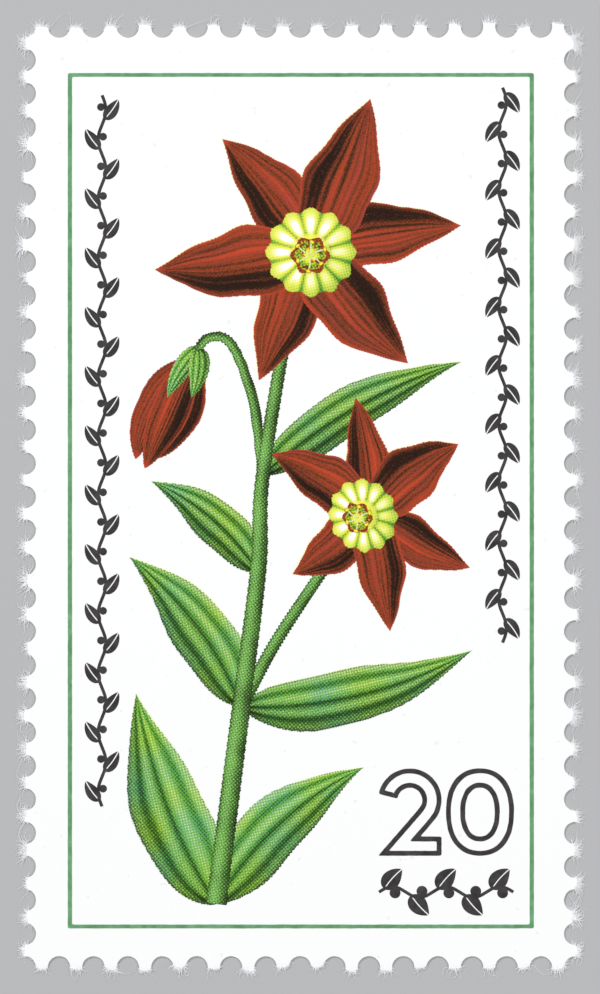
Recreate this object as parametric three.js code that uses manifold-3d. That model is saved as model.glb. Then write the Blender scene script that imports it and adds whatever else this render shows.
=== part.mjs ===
// A perforated postage stamp, lying face up on its gummed back. Millimetres, +Z up.
// The origin is under the middle of the sheet, on the face that the gum rests on.
// +Y runs up the printed picture and +X to its right.
//
// The stamp is a stack: a gum film, a sheet of paper, and flat films of printing ink on the paper's face.
// The picture is a plain sprig of star-shaped flowers with a fluted cup, framed by one ruled line,
// with running vines and a bare value numeral beside it.
import * as THREE from 'three';
import { mergeVertices } from 'three/addons/utils/BufferGeometryUtils.js';
import Module from 'manifold-3d';

const wasm = await Module();
wasm.setup();

// ---------------------------------------------------------------- driving dimensions
const PITCH_X = 1.5875; // hole to hole along the short edges, about 12.6 holes in 20 mm
const PITCH_Y = 1.55; // hole to hole along the long edges, about 12.9 holes in 20 mm
const SPACES_X = 16; // hole spaces along a short edge, corner hole to corner hole
const SPACES_Y = 28; // hole spaces along a long edge
const HOLE_D = 1.04; // the perforating pin
const HOLE_STEPS = 8; // facets round the half hole that an edge shows
const TEAR_PROUD = 0.14; // how far the torn teeth reach past the line of hole centres
const TEAR_RAGGED = 0.08; // how far a tooth's corners fall short of that

const GUM_T = 0.015; // dried gum on the back
const PAPER_T = 0.09; // the coated paper itself
const INK_T = 0.02; // an ink film, drawn thick enough to be a solid
const SLIVER = 0.004; // joins and cuts leave no edge shorter than this

const PRINT_X = 0.04; // the print sits a little off the middle of the sheet
const PRINT_Y = -0.17;
const FRAME_W = 21.3; // the ruled frame, to the middle of its line
const FRAME_H = 39.27;
const FRAME_SIDE_LINE = 0.2; // its line up the long sides
const FRAME_END_LINE = 0.18; // and across the ends, ruled a little finer

const HALF_W = (PITCH_X * SPACES_X) / 2;
const HALF_H = (PITCH_Y * SPACES_Y) / 2;
const FACE_Z = GUM_T + PAPER_T;

// ---------------------------------------------------------------- helpers
const point = (x, y) => new THREE.Vector2(x, y);
const ORIGIN = point(0, 0);
const polar = (centre, r, a) => point(centre.x + r * Math.cos(a), centre.y + r * Math.sin(a));
const moved = (p, dx, dy) => point(p.x + dx, p.y + dy);

// A fixed draw from 0 to 1 for each whole seed: the far digits of a large multiple of a sine.
function steadyRandom(seed) {
  const s = Math.sin(seed * 12.9898 + 4.1414) * 43758.5453;
  return s - Math.floor(s);
}

// A closed outline, and any holes in it, as a flat plate from z to z + depth.
function plate(outline, z, depth, holes = []) {
  const shape = new THREE.Shape(outline);
  shape.holes = holes.map((hole) => new THREE.Path(hole));
  return new THREE.ExtrudeGeometry(shape, { depth, bevelEnabled: false }).translate(0, 0, z);
}

function toSolid(geometry) {
  const bare = geometry.clone();
  bare.deleteAttribute('normal');
  bare.deleteAttribute('uv');
  const merged = mergeVertices(bare, 1e-5);
  return new wasm.Manifold(
    new wasm.Mesh({
      numProp: 3,
      vertProperties: merged.attributes.position.array,
      triVerts: new Uint32Array(merged.index.array),
    }),
  );
}

function toGeometry(solid) {
  const mesh = solid.simplify(SLIVER).getMesh();
  return new THREE.BufferGeometry()
    .setAttribute('position', new THREE.BufferAttribute(mesh.vertProperties, 3))
    .setIndex(new THREE.BufferAttribute(mesh.triVerts, 1))
    .toNonIndexed();
}

// An ink film of one outline, on the paper's face and moved with the print.
const film = (outline, holes = []) =>
  toSolid(plate(outline, FACE_Z, INK_T, holes).translate(PRINT_X, PRINT_Y, 0));
const joined = (films) => films.reduce((sum, next) => sum.add(next));

// The largest of the pieces that a cut leaves. Scraps beside it are too small to print.
function largest(solid) {
  return solid.decompose().reduce((best, next) => (next.volume() > best.volume() ? next : best));
}

// ---------------------------------------------------------------- the perforated outline
// The sheet is torn from its neighbours along rows of round holes, one of them on each corner.
// Round each hole the outline is an arc. Between two holes it is a torn tooth, whose middle
// reaches the tear line and whose two corners fall short of it by a random bit.
function perforatedOutline() {
  const r = HOLE_D / 2;
  const past = Math.asin(TEAR_PROUD / r); // the arc runs on past the row of hole centres by this angle
  const sides = [
    { from: point(-HALF_W, -HALF_H), along: point(1, 0), spaces: SPACES_X, pitch: PITCH_X },
    { from: point(HALF_W, -HALF_H), along: point(0, 1), spaces: SPACES_Y, pitch: PITCH_Y },
    { from: point(HALF_W, HALF_H), along: point(-1, 0), spaces: SPACES_X, pitch: PITCH_X },
    { from: point(-HALF_W, HALF_H), along: point(0, -1), spaces: SPACES_Y, pitch: PITCH_Y },
  ];
  const outline = [];
  sides.forEach(({ from, along, spaces, pitch }, side) => {
    const out = point(along.y, -along.x); // away from the sheet
    const heading = Math.atan2(along.y, along.x);
    const at = (s, o) => from.clone().addScaledVector(along, s).addScaledVector(out, o);
    for (let i = 0; i < spaces; i++) {
      // The corner's hole turns the outline by a quarter, so its arc is a quarter turn shorter.
      const start = heading + (i ? Math.PI : Math.PI / 2) + past;
      const sweep = start - (heading - past);
      const steps = i ? HOLE_STEPS : HOLE_STEPS / 2;
      for (let k = 0; k <= steps; k++) {
        const p = polar(at(i * pitch, 0), r, start - (sweep * k) / steps);
        const toothCorner = k === steps || (k === 0 && i > 0);
        const seed = 100 * side + 2 * i + (k > 0 ? 1 : 0);
        outline.push(toothCorner ? p.addScaledVector(out, -TEAR_RAGGED * steadyRandom(seed)) : p);
      }
      outline.push(at((i + 0.5) * pitch, TEAR_PROUD));
    }
  });
  return outline;
}

// ---------------------------------------------------------------- the printed shapes
// A leaf or a petal: a bowed midrib from root to tip, and an edge on each side of it.
// t being the way along, the half width goes as t^swell (1 - t)^taper, with a slow wave on the edges.
function blade({ root, tip, bow = 0, width, swell, taper, wave = 0, waves = 2, phase = 0, steps }) {
  const span = tip.clone().sub(root);
  const side = point(-span.y, span.x).normalize();
  const middle = root.clone().lerp(tip, 0.5).addScaledVector(side, bow);
  const midrib = new THREE.QuadraticBezierCurve(root, middle, tip);
  const shape = (t) => t ** swell * (1 - t) ** taper;
  const widest = shape(swell / (swell + taper));
  const edge = (t, sign) => {
    const tangent = midrib.getTangent(t);
    const ripple = 1 + wave * Math.sin(2 * Math.PI * waves * t + phase + sign);
    const half = ((width / 2) * shape(t) * ripple) / widest;
    return midrib.getPoint(t).addScaledVector(point(-tangent.y, tangent.x), sign * half);
  };
  const outline = [root.clone()];
  for (let k = 1; k < steps; k++) outline.push(edge(k / steps, -1));
  outline.push(tip.clone());
  for (let k = steps - 1; k > 0; k--) outline.push(edge(k / steps, 1));
  return outline;
}

// A ribbon along a smooth curve through a few points, going evenly from one width to another.
function ribbon(points, startWidth, endWidth, steps) {
  const line = new THREE.SplineCurve(points);
  const left = [];
  const right = [];
  for (let k = 0; k <= steps; k++) {
    const t = k / steps;
    const half = THREE.MathUtils.lerp(startWidth, endWidth, t) / 2;
    const tangent = line.getTangent(t);
    const across = point(-tangent.y, tangent.x);
    left.push(line.getPoint(t).addScaledVector(across, half));
    right.unshift(line.getPoint(t).addScaledVector(across, -half));
  }
  return [...right, ...left];
}

// A ring round a centre whose radius waves in and out.
function waved(centre, radius, waves, ripple, steps) {
  return Array.from({ length: steps }, (_, k) => {
    const a = (2 * Math.PI * k) / steps;
    return polar(centre, radius * (1 + ripple * Math.cos(waves * a)), a);
  });
}

// ---------------------------------------------------------------- the flowers
// Six pointed petals in two layers of three stand round a fluted cup with a dark throat.
const PETALS = 6;
const PETAL_REACH = [1, 0.92]; // the front layer and the back one, as shares of the flower's reach
const PETAL_WIDTH = [0.46, 0.4];
const PETAL_UNEVEN = 0.04; // how much the petals differ in length
const PETAL_BOW = 0.09; // how far a midrib bends sideways
const PETAL_EDGE = { swell: 0.66, taper: 1.05, wave: 0.06, waves: 2.5, steps: 14 };
const CUP_FLUTES = 12;
const CUP_RIPPLE = 0.05;
const CUP_STEPS = 48;
const THROAT_SHARE = 0.42; // the throat's radius as a share of the cup's
const THROAT_RIPPLE = 0.1;
const THROAT_STEPS = 24;

// `lean` tips the flower back towards the direction `toward`, which foreshortens it that way.
// The cup stands out of the petals, so it leans the other way, and its throat further still.
function flower({ centre, reach, turn, lean, toward, cup }) {
  const foreshortened = (p, middle, squeeze) => {
    const d = p.clone().sub(middle).rotateAround(ORIGIN, -toward);
    d.x *= squeeze;
    return d.rotateAround(ORIGIN, toward).add(middle);
  };
  const petals = Array.from({ length: PETALS }, (_, i) => {
    const layer = i % 2;
    const length = reach * PETAL_REACH[layer] * (1 + PETAL_UNEVEN * Math.sin(2.6 * i + turn));
    return blade({
      ...PETAL_EDGE,
      root: centre,
      tip: polar(centre, length, turn + (2 * Math.PI * i) / PETALS),
      bow: PETAL_BOW * reach * Math.sin(1.9 * i + 3 * turn),
      width: reach * PETAL_WIDTH[layer],
      phase: 1.3 * i,
    }).map((p) => foreshortened(p, centre, Math.cos(lean)));
  });
  const stepForward = cup * Math.sin(lean) * 0.5;
  const cupSqueeze = (1 + Math.cos(lean)) / 2;
  const cupCentre = polar(centre, -stepForward, toward);
  const throatCentre = polar(centre, -1.6 * stepForward, toward);
  const ring = (middle, radius, waves, ripple, steps) =>
    film(waved(middle, radius, waves, ripple, steps).map((p) => foreshortened(p, middle, cupSqueeze)));
  const cupDisc = ring(cupCentre, cup, CUP_FLUTES, CUP_RIPPLE, CUP_STEPS);
  const throat = ring(throatCentre, cup * THROAT_SHARE, CUP_FLUTES / 2, THROAT_RIPPLE, THROAT_STEPS);
  return {
    petals: joined(petals.map((p) => film(p))).subtract(cupDisc),
    cup: cupDisc.subtract(throat),
    throat,
    all: joined(petals.map((p) => film(p))).add(cupDisc),
  };
}

const upper = flower({ centre: point(0.5, 11.7), reach: 7.3, turn: 1.2, lean: 0.25, toward: 1.4, cup: 2.0 });
const lower = flower({ centre: point(3.3, -0.5), reach: 5.9, turn: 0.62, lean: 0.6, toward: 0.4, cup: 1.65 });

// ---------------------------------------------------------------- the bud
// A half open bud that nods to the left on its own stalk: two side petals, then the one in front.
const BUD_ROOT = point(-5.0, 6.5);
const BUD_TIP = point(-7.2, 1.5);
const BUD_SPREAD = 0.42; // how far the side petals' tips stand off the front one's
const BUD_BOW = 0.9;
const BUD_PETAL = { width: 1.75, swell: 0.6, taper: 0.8, wave: 0.04, steps: 14 };
const CALYX_ROOT = moved(BUD_ROOT, 0.3, 0.5);
const CALYX_TIP = moved(BUD_ROOT, -0.6, -1.75);
const CALYX_SPREAD = 0.55;
const CALYX_BOW = 0.3;
const CALYX_LEAF = { width: 0.95, swell: 0.4, taper: 0.9, steps: 8 };

const budPetals = joined(
  [-1, 1, 0].map((lay) => {
    const tip = moved(BUD_TIP, BUD_SPREAD * lay, Math.abs(lay) * BUD_SPREAD);
    return film(blade({ ...BUD_PETAL, root: BUD_ROOT, tip, bow: BUD_BOW * lay, phase: lay }));
  }),
);
const budCalyx = joined(
  [-1, 1].map((lay) => {
    const tip = moved(CALYX_TIP, CALYX_SPREAD * lay, 0);
    return film(blade({ ...CALYX_LEAF, root: CALYX_ROOT, tip, bow: CALYX_BOW * lay }));
  }),
);

// ---------------------------------------------------------------- the stem and its leaves
const STEM_FOOT = point(-3.9, -18.6);
const FORK_LOW = point(-2.75, -9.5); // where the lower flower's stalk leaves
const FORK_HIGH = point(-1.75, 1.2); // where the bud's stalk leaves
const MAIN_STEM = [STEM_FOOT, FORK_LOW, point(-1.95, -3.0), FORK_HIGH, point(-0.4, 9.5)];
const LOWER_STALK = [FORK_LOW, point(-1.2, -6.6), point(0.9, -3.4), point(2.4, -1.2)];
const BUD_STALK = [FORK_HIGH, point(-2.2, 4.6), point(-3.2, 7.2), point(-4.3, 7.5), BUD_ROOT];

const stem = joined([
  film(ribbon(MAIN_STEM, 0.95, 0.55, 22)),
  film(ribbon(LOWER_STALK, 0.62, 0.47, 12)),
  film(ribbon(BUD_STALK, 0.5, 0.4, 16)),
])
  .subtract(upper.all)
  .subtract(lower.all)
  .subtract(budPetals)
  .subtract(budCalyx);

const LEAF_EDGE = { swell: 0.7, taper: 1.15, wave: 0.05, steps: 16 };
const LEAVES = {
  ink_leaf_foot_left: { root: STEM_FOOT, tip: point(-7.6, -8.9), bow: 1.0, width: 3.5 },
  ink_leaf_foot_right: { root: STEM_FOOT, tip: point(2.9, -12.3), bow: 1.5, width: 2.9 },
  ink_leaf_middle_left: { root: FORK_LOW, tip: point(-7.9, -2.6), bow: -1.2, width: 2.8 },
  ink_leaf_middle_right: { root: FORK_LOW, tip: point(7.9, -6.9), bow: -1.5, width: 2.6 },
  ink_leaf_top_left: { root: point(-1.95, -3.3), tip: point(-6.9, 0.9), bow: -1.0, width: 2.1 },
  ink_leaf_top_right: { root: FORK_HIGH, tip: point(7.4, 6.4), bow: 1.2, width: 2.2 },
};
const inFrontOfLeaves = joined([stem, upper.all, lower.all, budPetals, budCalyx]);

// ---------------------------------------------------------------- the vines
// Each runs along its own x axis from its start, which `turn` then swings round.
const VINES = {
  ink_vine_left: { start: point(-9.17, -14.1), turn: Math.PI / 2, length: 32.8, height: 1.5 },
  ink_vine_right: { start: point(9.3, 19.05), turn: -Math.PI / 2, length: 25.6, height: 1.5 },
  ink_vine_short: { start: point(3.6, -18.05), turn: 0, length: 6.2, height: 2.1 },
};
const VINE_STEP = 1.35; // one leaf to the next
const VINE_STEM = 0.15;
const VINE_SWAY = 0.12; // these three are shares of the vine's height
const VINE_LEAF = 0.4;
const VINE_BERRY = 0.12;
const VINE_LEAF_EDGE = { swell: 0.6, taper: 0.9, steps: 5 };
const VINE_LEAF_BACK = 0.3; // these three are shares of the step: from its middle back to the leaf's root,
const VINE_LEAF_ON = 0.35; // on to the leaf's tip,
const VINE_BERRY_ON = 0.1; // and on to the berry

// A waved stem with a leaf on one side and a berry on the other, changing sides at every step.
function vine({ start, turn, length, height }) {
  const place = (p) => p.rotateAround(ORIGIN, turn).add(start);
  const count = Math.round(length / VINE_STEP);
  const step = length / count;
  const middle = (x) => point(x, VINE_SWAY * height * Math.sin((Math.PI * x) / step));
  const stemPoints = Array.from({ length: 2 * count + 1 }, (_, k) => middle((k * step) / 2));
  const films = [film(ribbon(stemPoints, VINE_STEM, VINE_STEM, 3 * count).map(place))];
  const berryR = VINE_BERRY * height;
  for (let i = 0; i < count; i++) {
    const up = i % 2 ? -1 : 1;
    const x = (i + 0.5) * step;
    const root = middle(x - VINE_LEAF_BACK * step);
    const tip = point(x + VINE_LEAF_ON * step, (up * height) / 2);
    const leaf = blade({ ...VINE_LEAF_EDGE, root, tip, bow: 0.1 * up, width: VINE_LEAF * height });
    films.push(film(leaf.map(place)));
    const berry = moved(middle(x + VINE_BERRY_ON * step), 0, -up * (VINE_STEM / 2 + 0.8 * berryR));
    films.push(film(waved(berry, berryR, 1, 0, 7).map(place)));
  }
  return joined(films);
}

// ---------------------------------------------------------------- the value numeral
// It is drawn as hollow strokes: a band carried along a digit's middle line, of which only the edge
// is printed.
const VALUE_LEFT = 3.56;
const VALUE_FOOT = -16.375;
const DIGIT_H = 4.03;
const STROKE = 0.89; // the hollow stroke, edge to edge
const LINE = 0.23; // the printed edge
const BOWL = 1.02; // radius of the two's bowl, to the stroke's middle
const TOE = 0.53; // sets the two's sharp corner in, so that it doesn't stick out past the bowl
const ZERO_LEFT = 6.69;
const ZERO_W = 3.14;

const MITER_FLOOR = 0.3; // keeps the point of a sharp corner short

// Both sides of a band along a line of points. A corner is mitred, and each end is drawn in by endGap.
function strokeOutline(middleLine, half, endGap) {
  const last = middleLine.length - 1;
  const offset = (sign) =>
    middleLine.map((p, i) => {
      const before = middleLine[Math.max(i - 1, 0)];
      const after = middleLine[Math.min(i + 1, last)];
      const inward = (i === 0 ? after.clone().sub(p) : p.clone().sub(before)).normalize();
      const onward = (i === last ? inward.clone() : after.clone().sub(p)).normalize();
      const normal = point(-inward.y - onward.y, inward.x + onward.x).normalize();
      const miter = Math.max(MITER_FLOOR, normal.dot(point(-onward.y, onward.x)));
      const slide = i === 0 ? endGap : i === last ? -endGap : 0;
      return p.clone().addScaledVector(normal, (sign * half) / miter).addScaledVector(onward, slide);
    });
  return [...offset(-1), ...offset(1).reverse()];
}

// A bowl that turns over the top and runs straight down to the left, then a flat foot.
function digitTwo() {
  const bowl = point(VALUE_LEFT + BOWL + STROKE / 2, VALUE_FOOT + DIGIT_H - STROKE / 2 - BOWL);
  const turns = Array.from({ length: 13 }, (_, k) => THREE.MathUtils.degToRad(170 - 17.5 * k));
  const middleLine = [
    ...turns.map((a) => polar(bowl, BOWL, a)),
    point(VALUE_LEFT + STROKE / 2 + TOE, VALUE_FOOT + STROKE / 2),
    point(VALUE_LEFT + 2 * BOWL + STROKE, VALUE_FOOT + STROKE / 2),
  ];
  const edge = strokeOutline(middleLine, STROKE / 2, 0);
  const hollow = strokeOutline(middleLine, STROKE / 2 - LINE, LINE);
  return film(edge, [hollow]);
}

// A ring of ink, one line wide, whose outer edge is set in from the zero's. Each edge is an oval
// with slightly squared shoulders.
function zeroRing(inset) {
  const centre = point(ZERO_LEFT + ZERO_W / 2, VALUE_FOOT + DIGIT_H / 2);
  const squared = (v) => Math.sign(v) * Math.abs(v) ** 0.88;
  const oval = (by) =>
    Array.from({ length: 28 }, (_, k) => {
      const a = (2 * Math.PI * k) / 28;
      const dx = (ZERO_W / 2 - by) * squared(Math.cos(a));
      return moved(centre, dx, (DIGIT_H / 2 - by) * squared(Math.sin(a)));
    });
  return film(oval(inset), [oval(inset + LINE)]);
}

// ---------------------------------------------------------------- the ruled frame
function frameLine() {
  const rectangle = (edge) => {
    const x = (FRAME_W + edge * FRAME_SIDE_LINE) / 2;
    const y = (FRAME_H + edge * FRAME_END_LINE) / 2;
    return [point(-x, -y), point(x, -y), point(x, y), point(-x, y)];
  };
  return film(rectangle(1), [rectangle(-1)]);
}

// ---------------------------------------------------------------- the stamp
const paper = new THREE.MeshStandardMaterial({ color: 0xf6f5f1, roughness: 0.8 });
const gum = new THREE.MeshStandardMaterial({ color: 0xeee8d6, roughness: 0.35 });
const greenInk = new THREE.MeshStandardMaterial({ color: 0x5fa56e, roughness: 0.6 });
const leafInk = new THREE.MeshStandardMaterial({ color: 0x4c9a3f, roughness: 0.6 });
const petalInk = new THREE.MeshStandardMaterial({ color: 0x8f2f1d, roughness: 0.6 });
const cupInk = new THREE.MeshStandardMaterial({ color: 0xd9dc63, roughness: 0.6 });
const greyInk = new THREE.MeshStandardMaterial({ color: 0x48444a, roughness: 0.6 });

const stamp = new THREE.Group();
function addNode(name, geometry, material) {
  const mesh = new THREE.Mesh(geometry, material);
  mesh.name = name;
  stamp.add(mesh);
}
const addInk = (name, solid, material) => addNode(name, toGeometry(solid), material);

const outline = perforatedOutline();
addNode('gum_layer', plate(outline, 0, GUM_T), gum);
addNode('paper_sheet', plate(outline, GUM_T, PAPER_T), paper);

addInk('ink_frame_line', frameLine(), greenInk);
addInk('ink_stem', largest(stem), leafInk);
for (const [name, size] of Object.entries(LEAVES)) {
  const leaf = film(blade({ ...LEAF_EDGE, ...size }));
  addInk(name, largest(leaf.subtract(inFrontOfLeaves)), leafInk);
}
for (const [name, { petals, cup, throat }] of Object.entries({ upper, lower })) {
  addInk(`ink_${name}_petals`, largest(petals), petalInk);
  addInk(`ink_${name}_cup`, cup, cupInk);
  addInk(`ink_${name}_throat`, throat, petalInk);
}
addInk('ink_bud_petals', largest(budPetals.subtract(budCalyx)), petalInk);
addInk('ink_bud_calyx', budCalyx, leafInk);
for (const [name, size] of Object.entries(VINES)) {
  addInk(name, vine(size), greyInk);
}
addInk('ink_value_two', digitTwo(), greyInk);
addInk('ink_value_zero_outer', zeroRing(0), greyInk);
addInk('ink_value_zero_inner', zeroRing(STROKE - LINE), greyInk);

export default stamp;
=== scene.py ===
# %% [markdown]
# # A postage stamp
#
# A stamp is a stack of very thin things: dried gum, coated white paper with a punched and torn
# edge, and films of ink, together about an eighth of a millimetre thick. The packed model holds the
# sizes. This script makes what a close look shows: the fuzz of torn fibres, the clean round
# notches, and a picture made of tiny dots of four inks.

import bmesh
import bpy
import numpy as np
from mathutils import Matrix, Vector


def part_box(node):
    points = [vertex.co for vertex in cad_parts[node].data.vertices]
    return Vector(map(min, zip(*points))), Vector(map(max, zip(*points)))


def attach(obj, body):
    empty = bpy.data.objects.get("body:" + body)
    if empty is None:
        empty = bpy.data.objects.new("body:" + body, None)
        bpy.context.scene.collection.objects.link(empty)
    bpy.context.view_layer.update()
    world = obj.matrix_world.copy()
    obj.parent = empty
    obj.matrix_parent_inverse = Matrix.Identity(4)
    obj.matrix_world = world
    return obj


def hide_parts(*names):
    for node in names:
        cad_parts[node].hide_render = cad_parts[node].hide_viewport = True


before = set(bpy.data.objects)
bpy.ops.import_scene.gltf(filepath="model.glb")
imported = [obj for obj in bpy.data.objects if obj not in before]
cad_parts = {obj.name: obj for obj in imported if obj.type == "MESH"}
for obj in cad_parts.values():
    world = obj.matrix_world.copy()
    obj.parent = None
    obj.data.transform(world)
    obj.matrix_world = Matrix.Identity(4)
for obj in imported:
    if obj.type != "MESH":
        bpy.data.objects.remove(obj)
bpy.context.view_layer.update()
print("nodes:", sorted(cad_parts))

# %% [markdown]
# ## Units and levels
#
# Blender works in metres, and a printer in millimetres. So every shape is worked out in
# millimetres and scaled once, when its mesh is made. Heights are read from the packed nodes, not
# typed in again. Films that share a face flicker in a render, so those that overlap lie on levels
# of their own, two thousandths of a millimetre apart or a share of that.

# %% Units and levels
MM = 0.001
LEVEL_STEP = 0.002
FILM_ROOT = 0.001  # how deep a film is set into the paper
LEVELS = {  # of the first film of each kind, and from one film of that kind to the next
    "yellow_slip": (0, 0),
    "cyan_slip": (0.4, 0),
    "line": (1, 0),
    "leaf": (1, 0.12),
    "vine_leaf": (1.5, 0),
    "stem": (2, 0.2),
    "berry": (2, 0),
    "back_petal": (3, 0.06),
    "bud_petal": (3, 0.5),
    "front_petal": (4, 0.06),
    "cup": (5, 0),
    "calyx": (5, 0.4),
    "throat": (6, 0),
    "filament": (6.6, 0),
    "anther": (7, 0),
}


def box_mm(node):
    """Lowest and highest corner of a packed node, in millimetres."""
    return np.array(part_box(node)) / MM


def level(kind, number=0):
    """Height of the top of a film: FACE_Z + LEVEL_STEP (first + apart number + 1)."""
    first, apart = LEVELS[kind]
    return FACE_Z + LEVEL_STEP * (first + apart * number + 1)


gum_low, gum_high = box_mm("gum_layer")
paper_high = box_mm("paper_sheet")[1]
frame_low, frame_high = box_mm("ink_frame_line")
BACK_Z, GUM_Z, FACE_Z = gum_low[2], gum_high[2], paper_high[2]
PRINT = (frame_low[:2] + frame_high[:2]) / 2  # the middle of the print
print("back, gum, face:", BACK_Z, GUM_Z, FACE_Z, "middle of the print:", PRINT.round(3))

# %% [markdown]
# ## Meshes from grids
#
# Blender could extrude curves for most of these shapes, but curves give no say over where the
# points go, and a printed pattern needs places to hold on to. So every piece is a grid of points,
# bent into shape by a formula. The merge in `make_piece` closes poles and seams, where several
# points of the grid are one.

# %% Meshes from grids
MERGE = 2e-8  # metres; points closer than this are one point


def quads(rows, columns, wrap):
    """Corner numbers of a grid's cells, row by row. With wrap, the last column joins the first."""
    row, column = np.mgrid[: rows - 1, : columns if wrap else columns - 1]
    here, below, after = row * columns, (row + 1) * columns, (column + 1) % columns
    corners = [here + column, here + after, below + after, below + column]
    return np.stack(corners, -1).reshape(-1, 4)


def new_object(name, points, faces):
    """An object from points in millimetres and faces as lists of corner numbers."""
    mesh = bpy.data.meshes.new(name)
    mesh.from_pydata((points * MM).tolist(), [], faces)
    made = bpy.data.objects.new(name, mesh)
    bpy.context.scene.collection.objects.link(made)
    return made


def make_piece(name, points, faces, smooth=False, **fields):
    """A closed piece, with fields of one number or three for each point."""
    piece = new_object(name, points, faces.tolist())
    mesh = piece.data
    for field, values in fields.items():
        kind, slot = ("FLOAT", "value") if values.ndim == 1 else ("FLOAT_VECTOR", "vector")
        attribute = mesh.attributes.new(field, kind, "POINT")
        attribute.data.foreach_set(slot, values.astype(np.float32).ravel())
    body = bmesh.new()
    body.from_mesh(mesh)
    bmesh.ops.remove_doubles(body, verts=body.verts, dist=MERGE)
    bmesh.ops.dissolve_degenerate(body, edges=body.edges, dist=MERGE)
    bmesh.ops.recalc_face_normals(body, faces=body.faces)
    body.to_mesh(mesh)
    body.free()
    mesh.polygons.foreach_set("use_smooth", np.full(len(mesh.polygons), smooth))
    return piece


def dress(piece, material, node=None):
    """Gives a piece its finish, hangs it on the root body, and hides the packed node that it stands
    for, if any.
    """
    piece.data.materials.append(material)
    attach(piece, "root")
    if node:
        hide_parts(node)
    print(piece.name, "faces:", len(piece.data.polygons))


print("cells of a grid of 3 by 4 points:", len(quads(3, 4, False)))

# %% [markdown]
# ## Films of ink
#
# A film of ink is a flat shape with two faces and a rim, like a coin. It could be a sheet with a
# Solidify modifier, but the rim is needed at once, with a place for each point: across its shape
# from -1 to 1 and along it from 0 to 1. A streak on a petal is then a formula on those two numbers,
# and follows every bend of the petal by itself.

# %% Films of ink
def slab(flat, low, high, wrap):
    """Points and faces of one closed film: a grid of flat points at two heights, joined by a rim.

    A wrapped grid has two rims, along its first and its last row, or one if its first row is a
    pole. An open one has a single rim that goes round all four sides."""
    points = [np.insert(flat, 2, z, -1).reshape(-1, 3) for z in (high, low)]
    count = len(points[0])
    number = np.arange(count).reshape(flat.shape[:2])
    first, last = number[0], number[-1][::-1]
    if not wrap:
        loops = [np.concatenate([first[:-1], number[:-1, -1], last[:-1], number[:0:-1, 0]])]
    else:
        loops = [first, last] if np.ptp(flat[0], axis=0).any() else [last]
    cells = quads(*number.shape, wrap)
    faces = [cells[:, ::-1], cells + count]
    for loop in loops:
        after = np.roll(loop, -1)
        faces.append(np.stack([loop, after, after + count, loop + count], -1))
    return np.concatenate(points), np.concatenate(faces)


def film(name, grids, top, ink, slot, node=None, place=None, seed=0.0, wrap=False, step=0.0):
    """One piece of ink: one or more closed slabs, from inside the paper up to a height `top`.

    Place = (2 column / last column - 1, row / last row), unless given as an array over the grid.
    `seed` lets one ink vary from piece to piece. `step` lifts each grid above the one before."""
    points, faces, places, start = [], [], [], 0
    for number, grid in enumerate(grids):
        some, cells = slab(grid + PRINT, FACE_Z - FILM_ROOT, top + step * number, wrap)
        rows, columns = grid.shape[:2]
        spot = np.dstack(np.meshgrid(np.linspace(-1, 1, columns), np.linspace(0, 1, rows)))
        spot = np.insert(spot if place is None else place, 2, 0, -1).reshape(-1, 3)
        points.append(some)
        places += [spot, spot]
        faces.append(cells + start)
        start += len(some)
    points, faces, places = (np.concatenate(lists) for lists in (points, faces, places))
    piece = make_piece(name, points, faces, place=places, seed=np.full(start, seed))
    dress(piece, ink, node)


print("height of the lowest and the highest film:", level("yellow_slip"), level("anther"))

# %% [markdown]
# ## Formulas in a material
#
# A printed tone is a formula: so much black where the streaks run, and less towards the rim.
# Blender writes it as Math nodes, one for each sign, and a long one is hard to read as a diagram.
# The operators of `Value` add those nodes, so that a formula stands here as it would on paper.

# %% Formulas in a material
def sign(operation, swapped=False):
    """The method behind a sign, as in value - other, or if swapped, as in other - value."""
    return lambda value, other: value.math(operation, other, swapped=swapped)


class Value:
    """The output of a node, on which a formula can be written as on a number."""

    def __init__(self, finish, socket):
        self.finish = finish
        self.socket = socket

    def math(self, operation, *others, clamp=False, swapped=False):
        """One Math node, with this value first, or last if swapped."""
        settings = {"operation": operation, "use_clamp": clamp}
        values = (*others, self) if swapped else (self, *others)
        return self.finish.node("ShaderNodeMath", settings, dict(enumerate(values)))

    __add__, __radd__ = sign("ADD"), sign("ADD", True)
    __sub__, __rsub__ = sign("SUBTRACT"), sign("SUBTRACT", True)
    __mul__, __rmul__ = sign("MULTIPLY"), sign("MULTIPLY", True)
    __truediv__, __rtruediv__ = sign("DIVIDE"), sign("DIVIDE", True)
    __pow__, __rpow__ = sign("POWER"), sign("POWER", True)

    def clamped(self):
        """The value, held between 0 and 1."""
        return self.math("ADD", 0.0, clamp=True)

    def wave(self, turns):
        """0.5 + 0.5 cos(2 pi turns x): 1 at 0, and 1 again after each turn."""
        return (self * (2 * np.pi * turns)).math("COSINE") * 0.5 + 0.5

    def hump(self, centre, width):
        """e to the power of -((x - centre) / width) squared: a bell, 1 high at its centre."""
        far = (self - centre) / width
        return (far * far * -1.0).math("EXPONENT")

    def rise(self, start, end):
        """0 before start, 1 after end, and a straight slope between them."""
        return ((self - start) / (end - start)).clamped()

    def swing(self, size):
        """A value from 0 to 1, made to swing that much about 0: (x - 0.5) size."""
        return (self - 0.5) * size


print("what a Value knows:", [name for name in vars(Value) if name != "__dict__"])

# %% [markdown]
# ## A material in the making
#
# `Finish` is one material. A number that is the same all over goes straight onto the shader's own
# socket, because an export keeps it there and loses it behind a node. Every node comes from the
# one method `node`: its settings first, since they can change which sockets it has, then its
# inputs.

# %% A material in the making
GRAIN_SCALE = 26000.0  # the coating's grain, about 0.04 mm
GRAIN_HEIGHT = 0.0000035  # metres


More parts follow.
